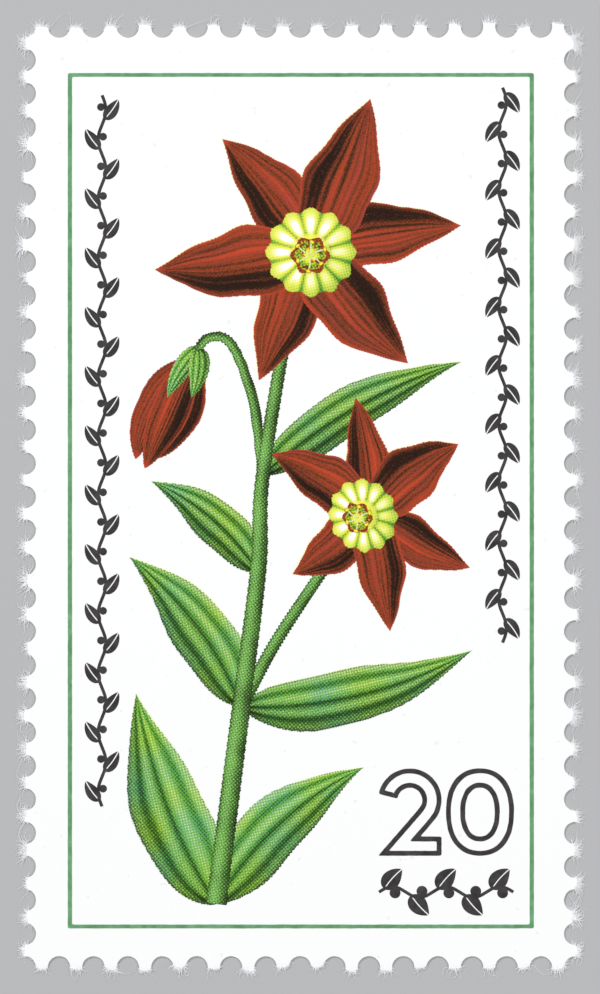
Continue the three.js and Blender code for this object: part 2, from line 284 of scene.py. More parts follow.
class Finish:
    """A material with one shader, and the nodes that feed it."""

    def __init__(self, name, **constants):
        self.material = bpy.data.materials.new(name)
        self.material.use_nodes = True
        self.tree = self.material.node_tree
        self.shader = self.tree.nodes["Principled BSDF"]
        for socket, value in constants.items():
            self.shader.inputs[socket.replace("_", " ")].default_value = value
        self.spot = self.node("ShaderNodeTexCoord", output="Object")

    def node(self, kind, settings=None, inputs=None, output=0):
        """A node of that kind: its settings, then its sockets' values or links."""
        made = self.tree.nodes.new(kind)
        for setting, value in (settings or {}).items():
            setattr(made, setting, value)
        for socket, value in (inputs or {}).items():
            self.feed(made.inputs[socket], value)
        return Value(self, made.outputs[output])

    def feed(self, socket, value):
        """Links a Value to a socket, or sets a number or colour on it."""
        if isinstance(value, Value):
            self.tree.links.new(value.socket, socket)
        else:
            socket.default_value = value

    def field(self, name, output="Fac"):
        """A field that is stored on the piece's points."""
        return self.node("ShaderNodeAttribute", {"attribute_name": name}, output=output)

    def parts(self, vector):
        """The three numbers of a vector."""
        split = self.node("ShaderNodeSeparateXYZ", inputs={0: vector}).socket.node
        return [Value(self, split.outputs[axis]) for axis in range(3)]

    def vector(self, x, y, z):
        """A vector made of three numbers."""
        return self.node("ShaderNodeCombineXYZ", inputs={0: x, 1: y, 2: z})

    def along(self, direction):
        """How far the spot lies along a direction: their dot product."""
        settings = {"operation": "DOT_PRODUCT"}
        return self.node("ShaderNodeVectorMath", settings, {0: self.spot, 1: direction}, "Value")

    def noise(self, vector, scale, detail=2.0, rough=0.5):
        """Soft random patches about 1 / scale across, from 0 to 1."""
        inputs = {"Vector": vector, "Scale": scale, "Detail": detail, "Roughness": rough}
        return self.node("ShaderNodeTexNoise", {"noise_dimensions": "3D"}, inputs)

    def blend(self, how, share, first, second):
        """A colour made of two by a Mix node, which keeps all three channels."""
        settings = {"data_type": "RGBA", "blend_type": how}
        return self.node("ShaderNodeMix", settings, {0: share, 6: first, 7: second}, 2)

    def done(self, colour, roughness, height, distance=GRAIN_HEIGHT):
        """The material, with a relief whose height from 0 to 1 spans that many metres."""
        relief = self.node("ShaderNodeBump", inputs={"Height": height, "Distance": distance})
        varying = {"Base Color": colour, "Roughness": roughness, "Normal": relief}
        for socket, value in varying.items():
            self.feed(self.shader.inputs[socket], value)
        print(self.material.name, "nodes:", len(self.tree.nodes))
        return self.material


print("what a Finish can do:", [name for name in vars(Finish) if not name.startswith("_")])

# %% [markdown]
# ## The perforated edge
#
# A perforator punches rows of round holes through a sheet of stamps, which are then torn apart
# along them. Round a hole the edge was cut by a pin, and is clean and round. Between two holes it
# was torn, and each tooth is a little different. It could be traced by hand, tooth by tooth. Here
# it is one array, with an axis for the period, from hole to hole, and one for the place within it,
# so that arcs and teeth are formulas over whole arrays.

# %% Where the holes are
SPACES = np.array([16, 28])  # hole spaces along the short and the long edge
HOLE_R = 0.52
TEAR_PROUD = 0.14  # a tooth reaches this far past the line of hole centres
HALF = paper_high[:2] - TEAR_PROUD  # from the middle to the lines of hole centres
PITCH = 2 * HALF / SPACES


def side_rows(corner, run, axis):
    """The periods of one side: hole centre, direction, outward way, pitch, and 1 at the corner."""
    steps = np.arange(SPACES[axis])[:, None]
    centre = np.array(corner) * HALF + steps * PITCH[axis] * np.array(run)
    ways = np.tile([*run, run[1], -run[0], PITCH[axis]], (len(steps), 1))
    return np.column_stack([centre, ways, steps == 0])


sides = [side_rows((-1, -1), (1, 0), 0), side_rows((1, -1), (0, 1), 1)]
sides += [side_rows((1, 1), (-1, 0), 0), side_rows((-1, 1), (0, -1), 1)]
periods = np.concatenate(sides)[:, None]
HOLES, RUN, OUT = periods[..., 0:2], periods[..., 2:4], periods[..., 4:6]
SPACE, AT_CORNER = periods[..., 6], periods[..., 7] > 0
print("holes round the stamp:", len(HOLES), "pitches:", PITCH.round(4))

# %% Where an arc meets a tooth
TIP_RANGE = (-0.195, 0.025)  # how far a tooth's tip lies from the tear line
SIDE_TIP = [0.05, -0.035, 0.02, -0.055]  # how much longer the teeth of each side are
CORNER_RANGE = (0.0, 0.15)  # how far a tooth's corners fall short of its tip

draw = np.random.default_rng(1840)
tip = TEAR_PROUD + np.repeat(SIDE_TIP, np.tile(SPACES, 2))[:, None]
tip = tip + draw.uniform(*TIP_RANGE, (len(HOLES), 1))
first, last = tip - draw.uniform(*CORNER_RANGE, (2, len(HOLES), 1))
met_first, met_last = np.arcsin(first / HOLE_R), np.arcsin(last / HOLE_R)
print("reach of the shortest and the longest tooth:", tip.min().round(3), tip.max().round(3))

# %% Circles and random waves
def circle(angle):
    """Points on a circle of radius 1, at angles in radians."""
    return np.stack([np.cos(angle), np.sin(angle)], -1)


def softened(values, times):
    """Numbers round a closed loop, each averaged with its two neighbours, that many times."""
    for _ in range(times):
        values = (np.roll(values, 1) + values + np.roll(values, -1)) / 3
    return values


def loop_noise(count, softness):
    """Soft random numbers from -1 to 1 round a closed loop."""
    values = softened(draw.uniform(-1, 1, count), softness)
    return values / np.abs(values).max()


print("softened:", softened(np.array([0.0, 1.0, 0.0, 0.0]), 1).round(3))

# %% The punched arcs
# Each is a circle of HOLE_R, from where it meets the last tooth to where it meets the next.
ARC_STEPS = 20
PIN_WEAR = 0.009  # how far from round it is

heading = np.arctan2(RUN[..., 1], RUN[..., 0])
start = heading + np.where(AT_CORNER, np.pi / 2, np.pi) + np.roll(met_last, 1, 0)
angle = start + (heading - met_first - start) * np.linspace(0, 1, ARC_STEPS)
radius = HOLE_R + PIN_WEAR * loop_noise(angle.size, 1).reshape(angle.shape)
arcs = HOLES + circle(angle) * radius[..., None]
print("points on the arcs:", arcs.shape)

# %% The torn teeth
# Each runs from corner to corner, is raised in between by 1 - |x| to the power of BLUNT, with x
# from -1 to 1, and moved in and out by random waves of two sizes.
TEAR_STEPS = 20
BLUNT = 2.6  # the higher, the squarer a tooth
NIBBLE = 0.055  # how much the torn line wanders

tear = (np.arange(TEAR_STEPS) + 1) / (TEAR_STEPS + 1)
start, end = HOLE_R * np.cos(met_first), SPACE - HOLE_R * np.cos(met_last)
along = start + (end - start) * tear
bulge = 1 - np.abs(2 * tear - 1) ** BLUNT
wander = 0.5 * loop_noise(along.size, 4) + 0.5 * loop_noise(along.size, 1)
out = first + (last - first) * tear + (tip - (first + last) / 2) * bulge
out = out + NIBBLE * wander.reshape(along.shape) * np.sqrt(bulge)
teeth = HOLES + along[..., None] * RUN + out[..., None] * OUT
edge = np.concatenate([arcs, teeth], 1).reshape(-1, 2)
torn = np.tile(np.repeat([0.0, 1.0], [ARC_STEPS, TEAR_STEPS]), len(HOLES))
torn = softened(torn, 2)  # how torn the edge is at each point
print("points round the edge:", len(edge), "reach:", np.abs(edge).max(0).round(3))

# %% [markdown]
# ## The sheet of paper and its gum
#
# An extruded outline would give every edge the same sharp wall, and a torn edge has none. So the
# sheet is skinned from closed loops, from the middle of the face out to the edge, round it and
# back on the underside. Each lies between the edge and a plain rectangle, so that no loop crosses
# another. Towards a torn edge the sheet gets thinner, because its fibres were pulled out. Where it
# was punched its corner is a little round. The gum stops short of the edge, and has its own skin.

# %% Loops of the sheet
INNER = 0.85  # this far inside the line of holes the loops have become plain rectangles
MIDDLE = HALF[0]  # an inset at which the rectangle has shrunk to a line up the middle
PLAIN_REACH = 0.7  # half of a hole's share of the plain rectangle

plain_arc = PLAIN_REACH * np.linspace(-1, 1, ARC_STEPS) * np.ones((len(HOLES), 1))
plain_tooth = PLAIN_REACH + (SPACE - 2 * PLAIN_REACH) * tear
plain = np.hstack([plain_arc, plain_tooth])[..., None] * RUN + HOLES
plain = plain.reshape(-1, 2)  # the partner of each point of the edge, on the line of holes


def loop_at(share, inset=INNER):
    """A closed loop between the edge, at share 0, and a rectangle inside it, at share 1."""
    limit = np.maximum(HALF - inset, [0, HALF[1] - HALF[0]])
    return edge * (1 - share) + np.clip(plain, -limit, limit) * share


def skin(name, loops, **fields):
    """A closed body from loops: flat points, and one height or a height for each point."""
    rings = [np.column_stack([flat, np.broadcast_to(z, len(flat))]) for flat, z in loops]
    cells = quads(len(rings), len(edge), True)
    return make_piece(name, np.concatenate(rings), cells, smooth=True, **fields)


print("longest way inwards:", np.linalg.norm(edge - loop_at(1), axis=1).max().round(3))

# %% The sheet of paper
# Face = FACE_Z - THIN torn near^2 - PRESSED. Back = GUM_Z + FRAY torn + PRESSED. The loops are
# (share, near, how much of PRESSED), and on the back (share, near, how much of FRAY, of PRESSED).
THIN, FRAY = 0.045, 0.02  # how far the torn face sinks, and the torn back rises
PRESSED = 0.006  # how far a punched corner is rounded
FACE_INSETS = (MIDDLE, 9.0, 5.0, 2.0, INNER)
FACE_LOOPS = [(0.35, 0, 0), (0.16, 0.25, 0), (0.09, 0.55, 0), (0.04, 0.8, 0)]
FACE_LOOPS += [(0.012, 0.95, 0.3), (0, 1, 1)]
BACK_LOOPS = [(0.003, 1, 1, 1), (0.012, 0.9, 0.8, 0), (0.16, 0.2, 0, 0)]

rings = [(loop_at(1, inset), FACE_Z, 0) for inset in FACE_INSETS]
for share, near, press in FACE_LOOPS:
    rings.append((loop_at(share), FACE_Z - THIN * torn * near**2 - PRESSED * press, near))
for share, near, fray, press in BACK_LOOPS:
    rings.append((loop_at(share), GUM_Z + FRAY * torn * fray + PRESSED * press, near))
rings += [(loop_at(1, inset), GUM_Z, 0) for inset in (INNER, MIDDLE)]
near_tear = np.concatenate([torn * near for _, _, near in rings])
paper = skin("stamp_paper", [ring[:2] for ring in rings], torn=near_tear)
print("paper faces:", len(paper.data.polygons))

# %% The gum
# Share, height and inset. The second loop near the rim keeps the shading of each face flat.
GUM_LOOPS = [(1, GUM_Z, MIDDLE), (1, GUM_Z), (0.09, GUM_Z), (0.07, GUM_Z), (0.05, GUM_Z * 0.6)]
GUM_LOOPS += [(0.06, BACK_Z), (0.08, BACK_Z), (1, BACK_Z), (1, BACK_Z, MIDDLE)]
gum = skin("stamp_gum", [(loop_at(share, *inset), z) for share, z, *inset in GUM_LOOPS])
print("gum faces:", len(gum.data.polygons))

# %% [markdown]
# ## Torn fibres
#
# Paper is a felt of wood fibres. Where it tears they are pulled out, so each tooth ends in a short
# white fuzz with a few long hairs, some of which curl back over the notches. Blender's own hair
# isn't a mesh, and wouldn't be part of the model. So each fibre is a tapered tube with three
# sides, and all of them are worked out at once, as one array.

# %% Where fibres start
TOOTH_SPAN = (-2, TEAR_STEPS + 2)  # a tooth, and two points of the arc on both sides of it


def fibre_roots(teeth, each, span):
    """Where fibres start, along and out from their hole, and the way that the edge faces there.
    `span` is where they may start, counted in points from the tooth's first."""
    first_point = teeth * (ARC_STEPS + TEAR_STEPS) + ARC_STEPS
    place = first_point[:, None] + draw.uniform(*span, (len(teeth), each))
    before = np.floor(place).astype(int)
    share = (place - before)[..., None]
    point = lambda ahead: edge[(before + ahead) % len(edge)]
    from_hole = point(0) * (1 - share) + point(1) * share - HOLES[teeth]
    way = point(3) - point(-2)
    facing = np.stack([way[..., 1], -way[..., 0]], -1)
    part = lambda vector, ways: (vector * ways[teeth]).sum(-1)
    angle = np.arctan2(part(facing, RUN), part(facing, OUT))
    return part(from_hole, RUN), part(from_hole, OUT), angle


print("points on which a fibre may start:", TOOTH_SPAN[1] - TOOTH_SPAN[0])

# %% Fibres as tubes
TURNS = np.pi * np.array([1 / 2, 7 / 6, 11 / 6])  # the three corners of a fibre's section
FLAT = 0.7  # a fibre is a little flatter than it is wide


def unit(vectors):
    """Vectors of length 1, in the same directions."""
    return vectors / (np.linalg.norm(vectors, axis=-1, keepdims=True) + 1e-12)


def tubes(name, line, radius):
    """Closed tubes along lines (fibre, step, xyz) with a radius (fibre, step), as one piece."""
    count, steps = line.shape[:2]
    forward = unit(np.gradient(line, axis=1))
    across = np.stack([-forward[..., 1], forward[..., 0], np.zeros((count, steps))], -1)
    up = np.array([0, 0, FLAT])
    corners = [line + radius[..., None] * (across * np.cos(a) + up * np.sin(a)) for a in TURNS]
    number = np.arange(count * steps * 3).reshape(count, steps, 3)
    sides = (quads(steps, 3, True) + number[:, :1, :1]).reshape(-1, 4)
    caps = np.concatenate([number[:, 0, ::-1], number[:, -1]])
    return new_object(name, np.stack(corners, 2).reshape(-1, 3), sides.tolist() + caps.tolist())


print("sides of a fibre:", len(TURNS))

# %% How a fibre grows
VIGOUR, UNEVEN = (0.45, 1.5), 0.42  # how lengths differ from tooth to tooth, and within one
SIDEWAYS = 0.3  # how long a fibre is where the edge faces a notch, as a share
CURL = 0.5  # the smaller wave, in radians
BURIED, COVER = (0.02, 0.1), 0.015  # how deep a root sits, and how far from both faces
DRIFT = 0.025  # how far a tip wanders up or down
LOWEST, HIGHEST = BACK_Z + 0.012, FACE_Z + 0.006
REACH = np.array([0.47, 0.72])  # how far past the lines of holes fibres may go, in x and in y
OWN_REACH, THICKNESS = (0.6, 1), (0.6, 1.3)  # the shares of REACH and width that a fibre has
TAPER = 0.75


def fibres(name, teeth, each, length, width, lean, bend, steps, span=TOOTH_SPAN):
    """Fibres on some teeth, as one piece.

    Direction at t = facing + a random lean + bend (a random turn t + a smaller wave). Length =
    length times the tooth's vigour, uneven, and shorter where the edge faces a notch. Middle line
    = the sum of the steps in that direction. A fibre that would pass its own share of REACH is
    drawn smaller about its root until it ends there. Radius = width (1 - TAPER t) / 2."""
    shape = (len(teeth), each, 1)
    t = np.linspace(0, 1, steps)
    along, out, facing = (values[..., None] for values in fibre_roots(teeth, each, span))
    curl = draw.normal(0, CURL, shape) * np.sin(2 * np.pi * (t + draw.uniform(0, 1, shape)))
    angle = facing + draw.normal(0, lean, shape) + bend * (draw.normal(0, 1.0, shape) * t + curl)
    vigour = draw.uniform(*VIGOUR, (len(teeth), 1, 1))
    size = length * vigour * draw.lognormal(0, UNEVEN, shape) / (steps - 1)
    size = size * (SIDEWAYS + (1 - SIDEWAYS) * np.clip(np.cos(facing), 0, 1))
    buried = draw.uniform(*BURIED, shape)
    along = along - buried * np.sin(facing) + np.cumsum(np.sin(angle) * size, -1)
    out = out - buried * np.cos(facing) + np.cumsum(np.cos(angle) * size, -1)
    height = draw.uniform(GUM_Z + COVER, FACE_Z - COVER, shape) + draw.normal(0, DRIFT, shape) * t
    height = np.clip(height, LOWEST, HIGHEST)
    hole, run, way = (values[teeth][:, None] for values in (HOLES, RUN, OUT))
    flat = hole + along[..., None] * run + out[..., None] * way
    root = flat[:, :, :1]
    room = HALF + REACH * draw.uniform(*OWN_REACH, (*shape, 1)) - np.abs(root)
    stride = np.maximum(np.abs(flat) - np.abs(root), 1e-9)
    flat = root + (flat - root) * np.minimum(room / stride, 1).min((2, 3), keepdims=True)
    line = np.concatenate([flat, height[..., None]], -1).reshape(-1, steps, 3)
    return tubes(name, line, width * draw.uniform(*THICKNESS, (len(line), 1)) * (1 - TAPER * t) / 2)


print("heights of fibres:", LOWEST, HIGHEST)

# %% The fuzz and the hairs
FUZZ = {  # the way out of each side, and how long its fibres are
    "bottom": ((0, -1), 0.16),
    "right": ((1, 0), 0.37),
    "top": ((0, 1), 0.185),
    "left": ((-1, 0), 0.28),
}
SHORT = dict(each=110, width=0.029, lean=0.65, bend=0.75, steps=8)
LONG = dict(each=4, length=0.42, width=0.022, lean=0.6, bend=1.15, steps=12)
STRAY = dict(each=1, length=1.15, width=0.026, lean=0.35, bend=1.15, steps=24)
FRAYED = dict(each=70, length=0.16, width=0.028, lean=0.7, bend=0.9, steps=8)

torn_fibres = []
for side, (way, length) in FUZZ.items():
    teeth = np.flatnonzero((OUT == way).all((1, 2)))
    torn_fibres.append(fibres("fuzz_" + side, teeth, length=length, **SHORT))
torn_fibres.append(fibres("torn_hairs", np.arange(len(HOLES)), **LONG))
ends = draw.choice(np.flatnonzero(OUT[..., 1]), 12, replace=False)
torn_fibres.append(fibres("stray_hairs", ends, **STRAY))
corners = np.flatnonzero(AT_CORNER)  # their paper is weak, and frays a little all round the hole
torn_fibres.append(fibres("corner_fuzz", corners, span=(-ARC_STEPS, 0), **FRAYED))
print("pieces of fibre:", [piece.name for piece in torn_fibres])

# %% [markdown]
# ## Paper, fibre and gum
#
# Stamp paper is coated with chalk, so its face is an even white, while the tear shows raw fibre.
# The stored field `torn` mixes the two. A picture of paper could be wrapped round the sheet, but
# it would have to be thousands of pixels wide to look right this close. Dried gum is glossy and a
# little yellow, with the shallow ripples of a film that has shrunk.

# %% Paper, fibre and gum
COATED = (0.90, 0.90, 0.89, 1)
RAW = (0.93, 0.94, 0.95, 1)
SPECK = (0.72, 0.70, 0.66, 1)
CLOUD = (0.9, 0.9, 0.88, 1)
GUM_PALE = (0.80, 0.76, 0.64, 1)
GUM_DEEP = (0.70, 0.64, 0.48, 1)
RIPPLE_HEIGHT = 0.00001  # metres


def paper_finish():
    """White, with a few specks: colour = coating, raw fibre by `torn`, specks, and faint clouds."""
    f = Finish("coated_paper", IOR=1.45, Specular_IOR_Level=0.35)
    torn_here = f.field("torn")
    grain = f.noise(f.spot, GRAIN_SCALE, 3.0, 0.6)
    speck = f.noise(f.spot, 2600.0, 1.0).rise(0.745, 0.775)  # only the noise's rare peaks
    colour = f.blend("MIX", torn_here, COATED, RAW)
    colour = f.blend("MIX", speck * 0.35, colour, SPECK)
    colour = f.blend("MULTIPLY", f.noise(f.spot, 260.0) * 0.05, colour, CLOUD)
    rough = grain + torn_here * grain * 3.0  # raw fibre stands up four times as far
    return f.done(colour, 0.58 + torn_here * 0.3, rough)


def gum_finish():
    """Pale yellow gloss: ripples drawn out across the sheet, with finer ones on them."""
    f = Finish("dried_gum", IOR=1.47)
    x, y, z = f.parts(f.spot)
    ripple = f.noise(f.vector(x * 0.35, y, z), 900.0)
    fine = f.noise(f.spot, 6000.0)
    colour = f.blend("MIX", ripple, GUM_PALE, GUM_DEEP)
    return f.done(colour, 0.2 + fine * 0.15, ripple * 0.8 + fine * 0.2, RIPPLE_HEIGHT)


fibre_finish = Finish("raw_fibre", Base_Color=RAW, Roughness=0.9, IOR=1.4).material
dress(paper, paper_finish(), "paper_sheet")
dress(gum, gum_finish(), "gum_layer")
for piece in torn_fibres:
    dress(piece, fibre_finish)

# %% [markdown]
# ## Printing with dots
#
# A press can't print half a red. It prints a grid of dots in full ink, larger where the tone is
# dark, and the eye mixes them. Each ink's grid has its own angle, but pale yellow shares cyan's, so
# that the gaps in a green leaf are nearly white. A picture of dots would have to be huge, so they
# are a formula: the screen is the sum of two cosines, highest in a dot's middle, and ink lies
# where it is higher than one less the tone. On paper ink creeps, and light spreads between the
# dots: `crisp` says how much of the tone still shows as dots, and the rest is even. Inks are
# clear, so each one multiplies what lies under it.

# %% Printing with dots
DOT_PITCH = 0.127  # mm from dot to dot
SOFT = 0.35  # how softly a dot's edge fades, as a share of the screen's height
ANGLES = {"yellow": 13, "red": 73, "cyan": 13, "black": 43}
INKS = {
    "yellow": (0.93, 0.93, 0.045, 1),
    "red": (0.62, 0.052, 0.26, 1),
    "cyan": (0.10, 0.49, 0.42, 1),
    "black": (0.04, 0.035, 0.02, 1),
}


def dot_ways(ink):
    """The two directions of an ink's grid, as long as the turn of its cosines in a millimetre."""
    angle = np.radians(ANGLES[ink])
    return circle(np.array([angle, angle + np.pi / 2])) * 2 * np.pi / DOT_PITCH


def dots(f, tone, ink, crisp):
    """Ink's share: tone (1 - crisp) + crisp clamp((screen - 1 + tone (1 + SOFT)) / SOFT)."""
    across, down = (f.along((*way, 0)).math("COSINE") for way in dot_ways(ink) / MM)
    screen = (across + down) * 0.25 + 0.5
    dotted = ((screen - 1 + tone * (1 + SOFT)) / SOFT).clamped()
    return tone * (1 - crisp) + dotted * crisp


def printed(name, tones, crisp):
    """Coated paper multiplied by each ink. `tones` gives an ink its tone, from the finish, the
    place across and along, and the piece's seed. `crisp` is one number, or one for each ink."""
    crisp = crisp if isinstance(crisp, dict) else dict.fromkeys(INKS, crisp)
    f = Finish(name, IOR=1.47, Specular_IOR_Level=0.15)
    u, v, _ = f.parts(f.field("place", "Vector"))
    colour = COATED
    for ink, tone in tones(f, u, v, f.field("seed")).items():
        tone = tone.clamped() if isinstance(tone, Value) else tone
        colour = f.blend("MULTIPLY", dots(f, tone, ink, crisp[ink]), colour, INKS[ink])
    grain = f.noise(f.spot, GRAIN_SCALE)
    return f.done(colour, 0.5 + grain * 0.12, grain)


print("dots in a square millimetre:", round(1 / DOT_PITCH**2))

# %% [markdown]
# ## Outlines made of dots
#
# An outline is cut out of the same dots as the tone, so it is never smooth. A mesh with a hole
# between every two dots would be exact, and very heavy. Here the rim swings to and fro with the
# height of the screen, so that its bays and the gaps between the dots fall into one grid.

# %% Outlines made of dots
SWING = {"red": 0.022, "cyan": 0.034}  # how far an outline swings, in mm
NARROW = 0.1  # where the shape's next row of points is nearer than this, it swings less


def moved_rim(rim, inside, ink):
    """A rim moved outwards by SWING times the mean of the screen's two cosines."""
    out = rim - inside
    room = np.maximum(np.linalg.norm(out, axis=-1), NARROW)
    screen = np.cos((rim + PRINT) @ dot_ways(ink).T).mean(-1)
    return rim + out * (SWING[ink] * screen / room)[..., None]


def dot_edged(grid, ink, ring=False):
    """A grid whose outline swings with the dots of an ink: its last row, or its two sides."""
    grid = grid.copy()
    if ring:
        grid[-1] = moved_rim(grid[-1], grid[-2], ink)
        return grid
    for rim, inside in ((0, 1), (-1, -2)):
        grid[:, rim] = moved_rim(grid[:, rim], grid[:, inside], ink)
    return grid


print("an outline swings by", SWING)

# %% [markdown]
# ## The tones of the plant
#
# A petal is solid red on yellow. Dots of cyan make it brown: lengthwise streaks, a shaded band to
# one side, two bright lanes where they stop, and a clean red rim and tip. A leaf is cyan on
# yellow, with dark ribs, pale lanes between them, and one half in shade. Each could have its own
# material, but `place` and `seed` carry all of it, so six leaves and fifteen petals share two.

# %% The tones of the petals
TONE_GRAIN = 11000.0  # the scale of the finest unevenness of a tone


def petal_tones(f, u, v, seed):
    """Shade = base + streaks + shaded band - bright lanes, times what is left by the rim and the
    tip. Cyan dots make it brown, and black ones come in where it is darkest. Pink lanes have less
    yellow."""
    slow = f.noise(f.vector(u * 2.0 + seed * 7.3, v * 0.8, seed), 1.0, 3.0)
    fine = f.noise(f.vector(u * 9 + seed * 3.1, v * 1.5, seed), 1.0)
    pink = f.noise(f.vector(u * 5 + seed * 4.7, v * 1.2, seed + 3), 1.0).rise(0.45, 0.68)
    grain = f.noise(f.spot, TONE_GRAIN, 1.0)
    streaks = (u + slow.swing(0.4)).wave(4.5) ** 1.5
    band = (u + slow * 0.4).hump(0.8, 0.3) * v.hump(0.5, 0.36)
    lanes = u.hump(-0.28, 0.13) * v.hump(0.4, 0.25) + u.hump(0.05, 0.07) * v.hump(0.33, 0.2) * 0.7
    root = v.hump(0.02, 0.12)
    rim = (u * u) ** 7.0 * (slow * 2.2).clamped()
    tip = v.rise(0.84, 0.96)
    shade = 0.49 + streaks * 0.3 + fine.swing(1.2) + grain.swing(0.5) + band * 0.5
    shade = (shade + root * 0.35 - lanes * 0.42).clamped() * (1 - rim) * (1 - tip * 0.9)
    black = shade * 0.2 + shade.rise(0.6, 1.1) * 0.5 + band * 0.3 + grain.swing(0.25)
    pink = pink * (1 - shade)
    cyan = shade * 0.82 + pink * 0.35
    return {"yellow": 0.94 - pink * 0.14, "red": 0.97 - shade * 0.03, "cyan": cyan, "black": black}


PETAL_CRISP = {"yellow": 0.35, "red": 0.5, "cyan": 0.15, "black": 0.2}
petal_ink = printed("petal_print", petal_tones, PETAL_CRISP)

# %% The tones of the leaves and the stem
def leaf_tones(f, u, v, seed):
    """Cyan and yellow thin out in the pale lanes, and trade places in soft patches. Black lies
    under it all, and draws the dark ribs, the half in shade, the root and a thin contour. A leaf
    with a higher seed is darker."""
    drift = f.noise(f.vector(u * 1.5 + seed * 5.1, v * 1.2, seed), 1.0)
    tint = f.noise(f.spot, 420.0, 1.0)
    grain = f.noise(f.spot, TONE_GRAIN, 1.0)
    ribs = (u + drift.swing(0.22)).wave(1.75)
    shade = u.rise(-0.02, 0.02) * 0.22 + u.rise(0.25, 1.0) * 0.5
    pale = ((1 - ribs) ** 1.5) * v.hump(0.52, 0.4) * (1 - shade)
    rim = (u * u) ** 12.0
    cyan = 0.8 + ribs * 0.08 - pale * 0.18 + tint.swing(0.3) + grain.swing(0.25) - rim * 0.25
    black = (ribs**1.8) * 0.32 + shade * 0.52 + v.hump(0.0, 0.14) * 0.4 + u.hump(0.0, 0.05) * 0.15
    black = black + grain.swing(0.4) + rim * 0.3 + 0.16 + seed * 0.07 - pale * 0.1
    yellow = 0.8 - tint.swing(0.6) - pale * 0.12 - rim * 0.3
    return {"yellow": yellow, "cyan": cyan, "black": black}


def stem_tones(f, u, v, seed):
    """A light lane a little left of the middle, and a dark right edge, where u is -1."""
    light = u.hump(0.35, 0.35)
    uneven = f.noise(f.spot, TONE_GRAIN, 1.0).swing(0.4) + f.noise(f.spot, 700.0, 1.0).swing(0.6)
    black = 0.42 + u.rise(0.0, -1.0) * 0.48 + u.hump(1.0, 0.2) * 0.28 - light * 0.1 + uneven
    return {"yellow": 0.76 - light * 0.04, "cyan": 0.77 - light * 0.04, "black": black}


leaf_ink = printed("leaf_print", leaf_tones, 0.55)
stem_ink = printed("stem_print", stem_tones, 0.6)

# %% [markdown]
# ## Leaves, petals and stems as grids
#
# A leaf and a petal are the same form: a bowed midrib, and edges that swell from it and taper to a
# point. Their rows are close enough for the rim to follow the dots, and closest near both ends,
# where the outline turns fastest. A stem is a ribbon along a smooth curve.

# %% A blade
ROW_GAP = 0.022  # mm from row to row
CROWD = 0.6  # how much closer rows lie near both ends
ACROSS = 5  # points from edge to edge


def unit_normals(way):
    """The directions a quarter turn to the left of a line's own."""
    return unit(np.stack([-way[:, 1], way[:, 0]], -1))


def blade(
    root, tip, width, bow=0.0, swell=0.6, taper=0.9, wave=0.0, waves=2.0, phase=0.0, rows=None
):
    """A leaf or petal, as (along, across, xy). Midrib = (1 - t)^2 root + 2 t (1 - t) middle + t^2
    tip, the middle lying `bow` to the side. Half width = width / 2 times t^swell (1 - t)^taper over
    its largest value, times 1 + wave sin(2 pi waves t + phase, plus or minus 1 for the two edges).
    Rows lie closer near both ends: t = i - CROWD sin(2 pi i) / (2 pi) for i evenly from 0 to 1."""
    root, tip = np.array(root, float), np.array(tip, float)
    span = tip - root
    middle = (root + tip) / 2 + unit(np.array([-span[1], span[0]])) * bow
    even = np.linspace(0, 1, rows or round(np.linalg.norm(span) / ROW_GAP))[:, None]
    t = even - CROWD * np.sin(2 * np.pi * even) / (2 * np.pi)
    line = (1 - t) ** 2 * root + 2 * t * (1 - t) * middle + t**2 * tip
    normal = unit_normals((1 - t) * (middle - root) + t * (tip - middle))
    across = np.linspace(-1, 1, ACROSS)
    peak = swell / (swell + taper)
    shape = t**swell * (1 - t) ** taper / (peak**swell * (1 - peak) ** taper)
    half = width / 2 * shape * (1 + wave * np.sin(2 * np.pi * waves * t + phase + np.sign(across)))
    return line[:, None, :] + normal[:, None, :] * (half * across)[..., None]


print("a leaf's grid:", blade((0, 0), (0, 9), 3).shape)

# %% A ribbon
def ribbon(points, start_width, end_width, rows=None, columns=ACROSS):
    """A stem: cubics from point to point, with a width that changes evenly. The slope at a point
    is half of the step from the point before it to the point after."""
    points = np.array(points, float)
    last = len(points) - 1
    longest = np.linalg.norm(np.diff(points, axis=0), axis=1).max()
    rows = rows or last * round(longest / ROW_GAP)
    place = np.linspace(0, last, rows)
    i = np.minimum(place.astype(int), last - 1)
    t = (place - i)[:, None]
    here, there = points[i], points[i + 1]
    slope0 = (there - points[np.maximum(i - 1, 0)]) / 2
    slope1 = (points[np.minimum(i + 2, last)] - here) / 2
    line = (2 * here - 2 * there + slope0 + slope1) * t**3
    line += (3 * there - 3 * here - 2 * slope0 - slope1) * t**2 + slope0 * t + here
    half = np.linspace(start_width, end_width, rows)[:, None] / 2
    normal = unit_normals(np.gradient(line, axis=0))
    across = half * np.linspace(-1, 1, columns)
    return line[:, None, :] + normal[:, None, :] * across[..., None]


print("a stem's grid:", ribbon([(0, 0), (1, 2), (0, 4)], 1, 1).shape)

# %% [markdown]
# ## The stem and the leaves
#
# The stem rises from the lower left and forks twice, once to the lower flower and once to the bud.
# Each leaf starts inside the stem, and the stem's film lies above the leaves', which hides their
# roots. Cutting the shapes along each other would also work, but it leaves slivers.

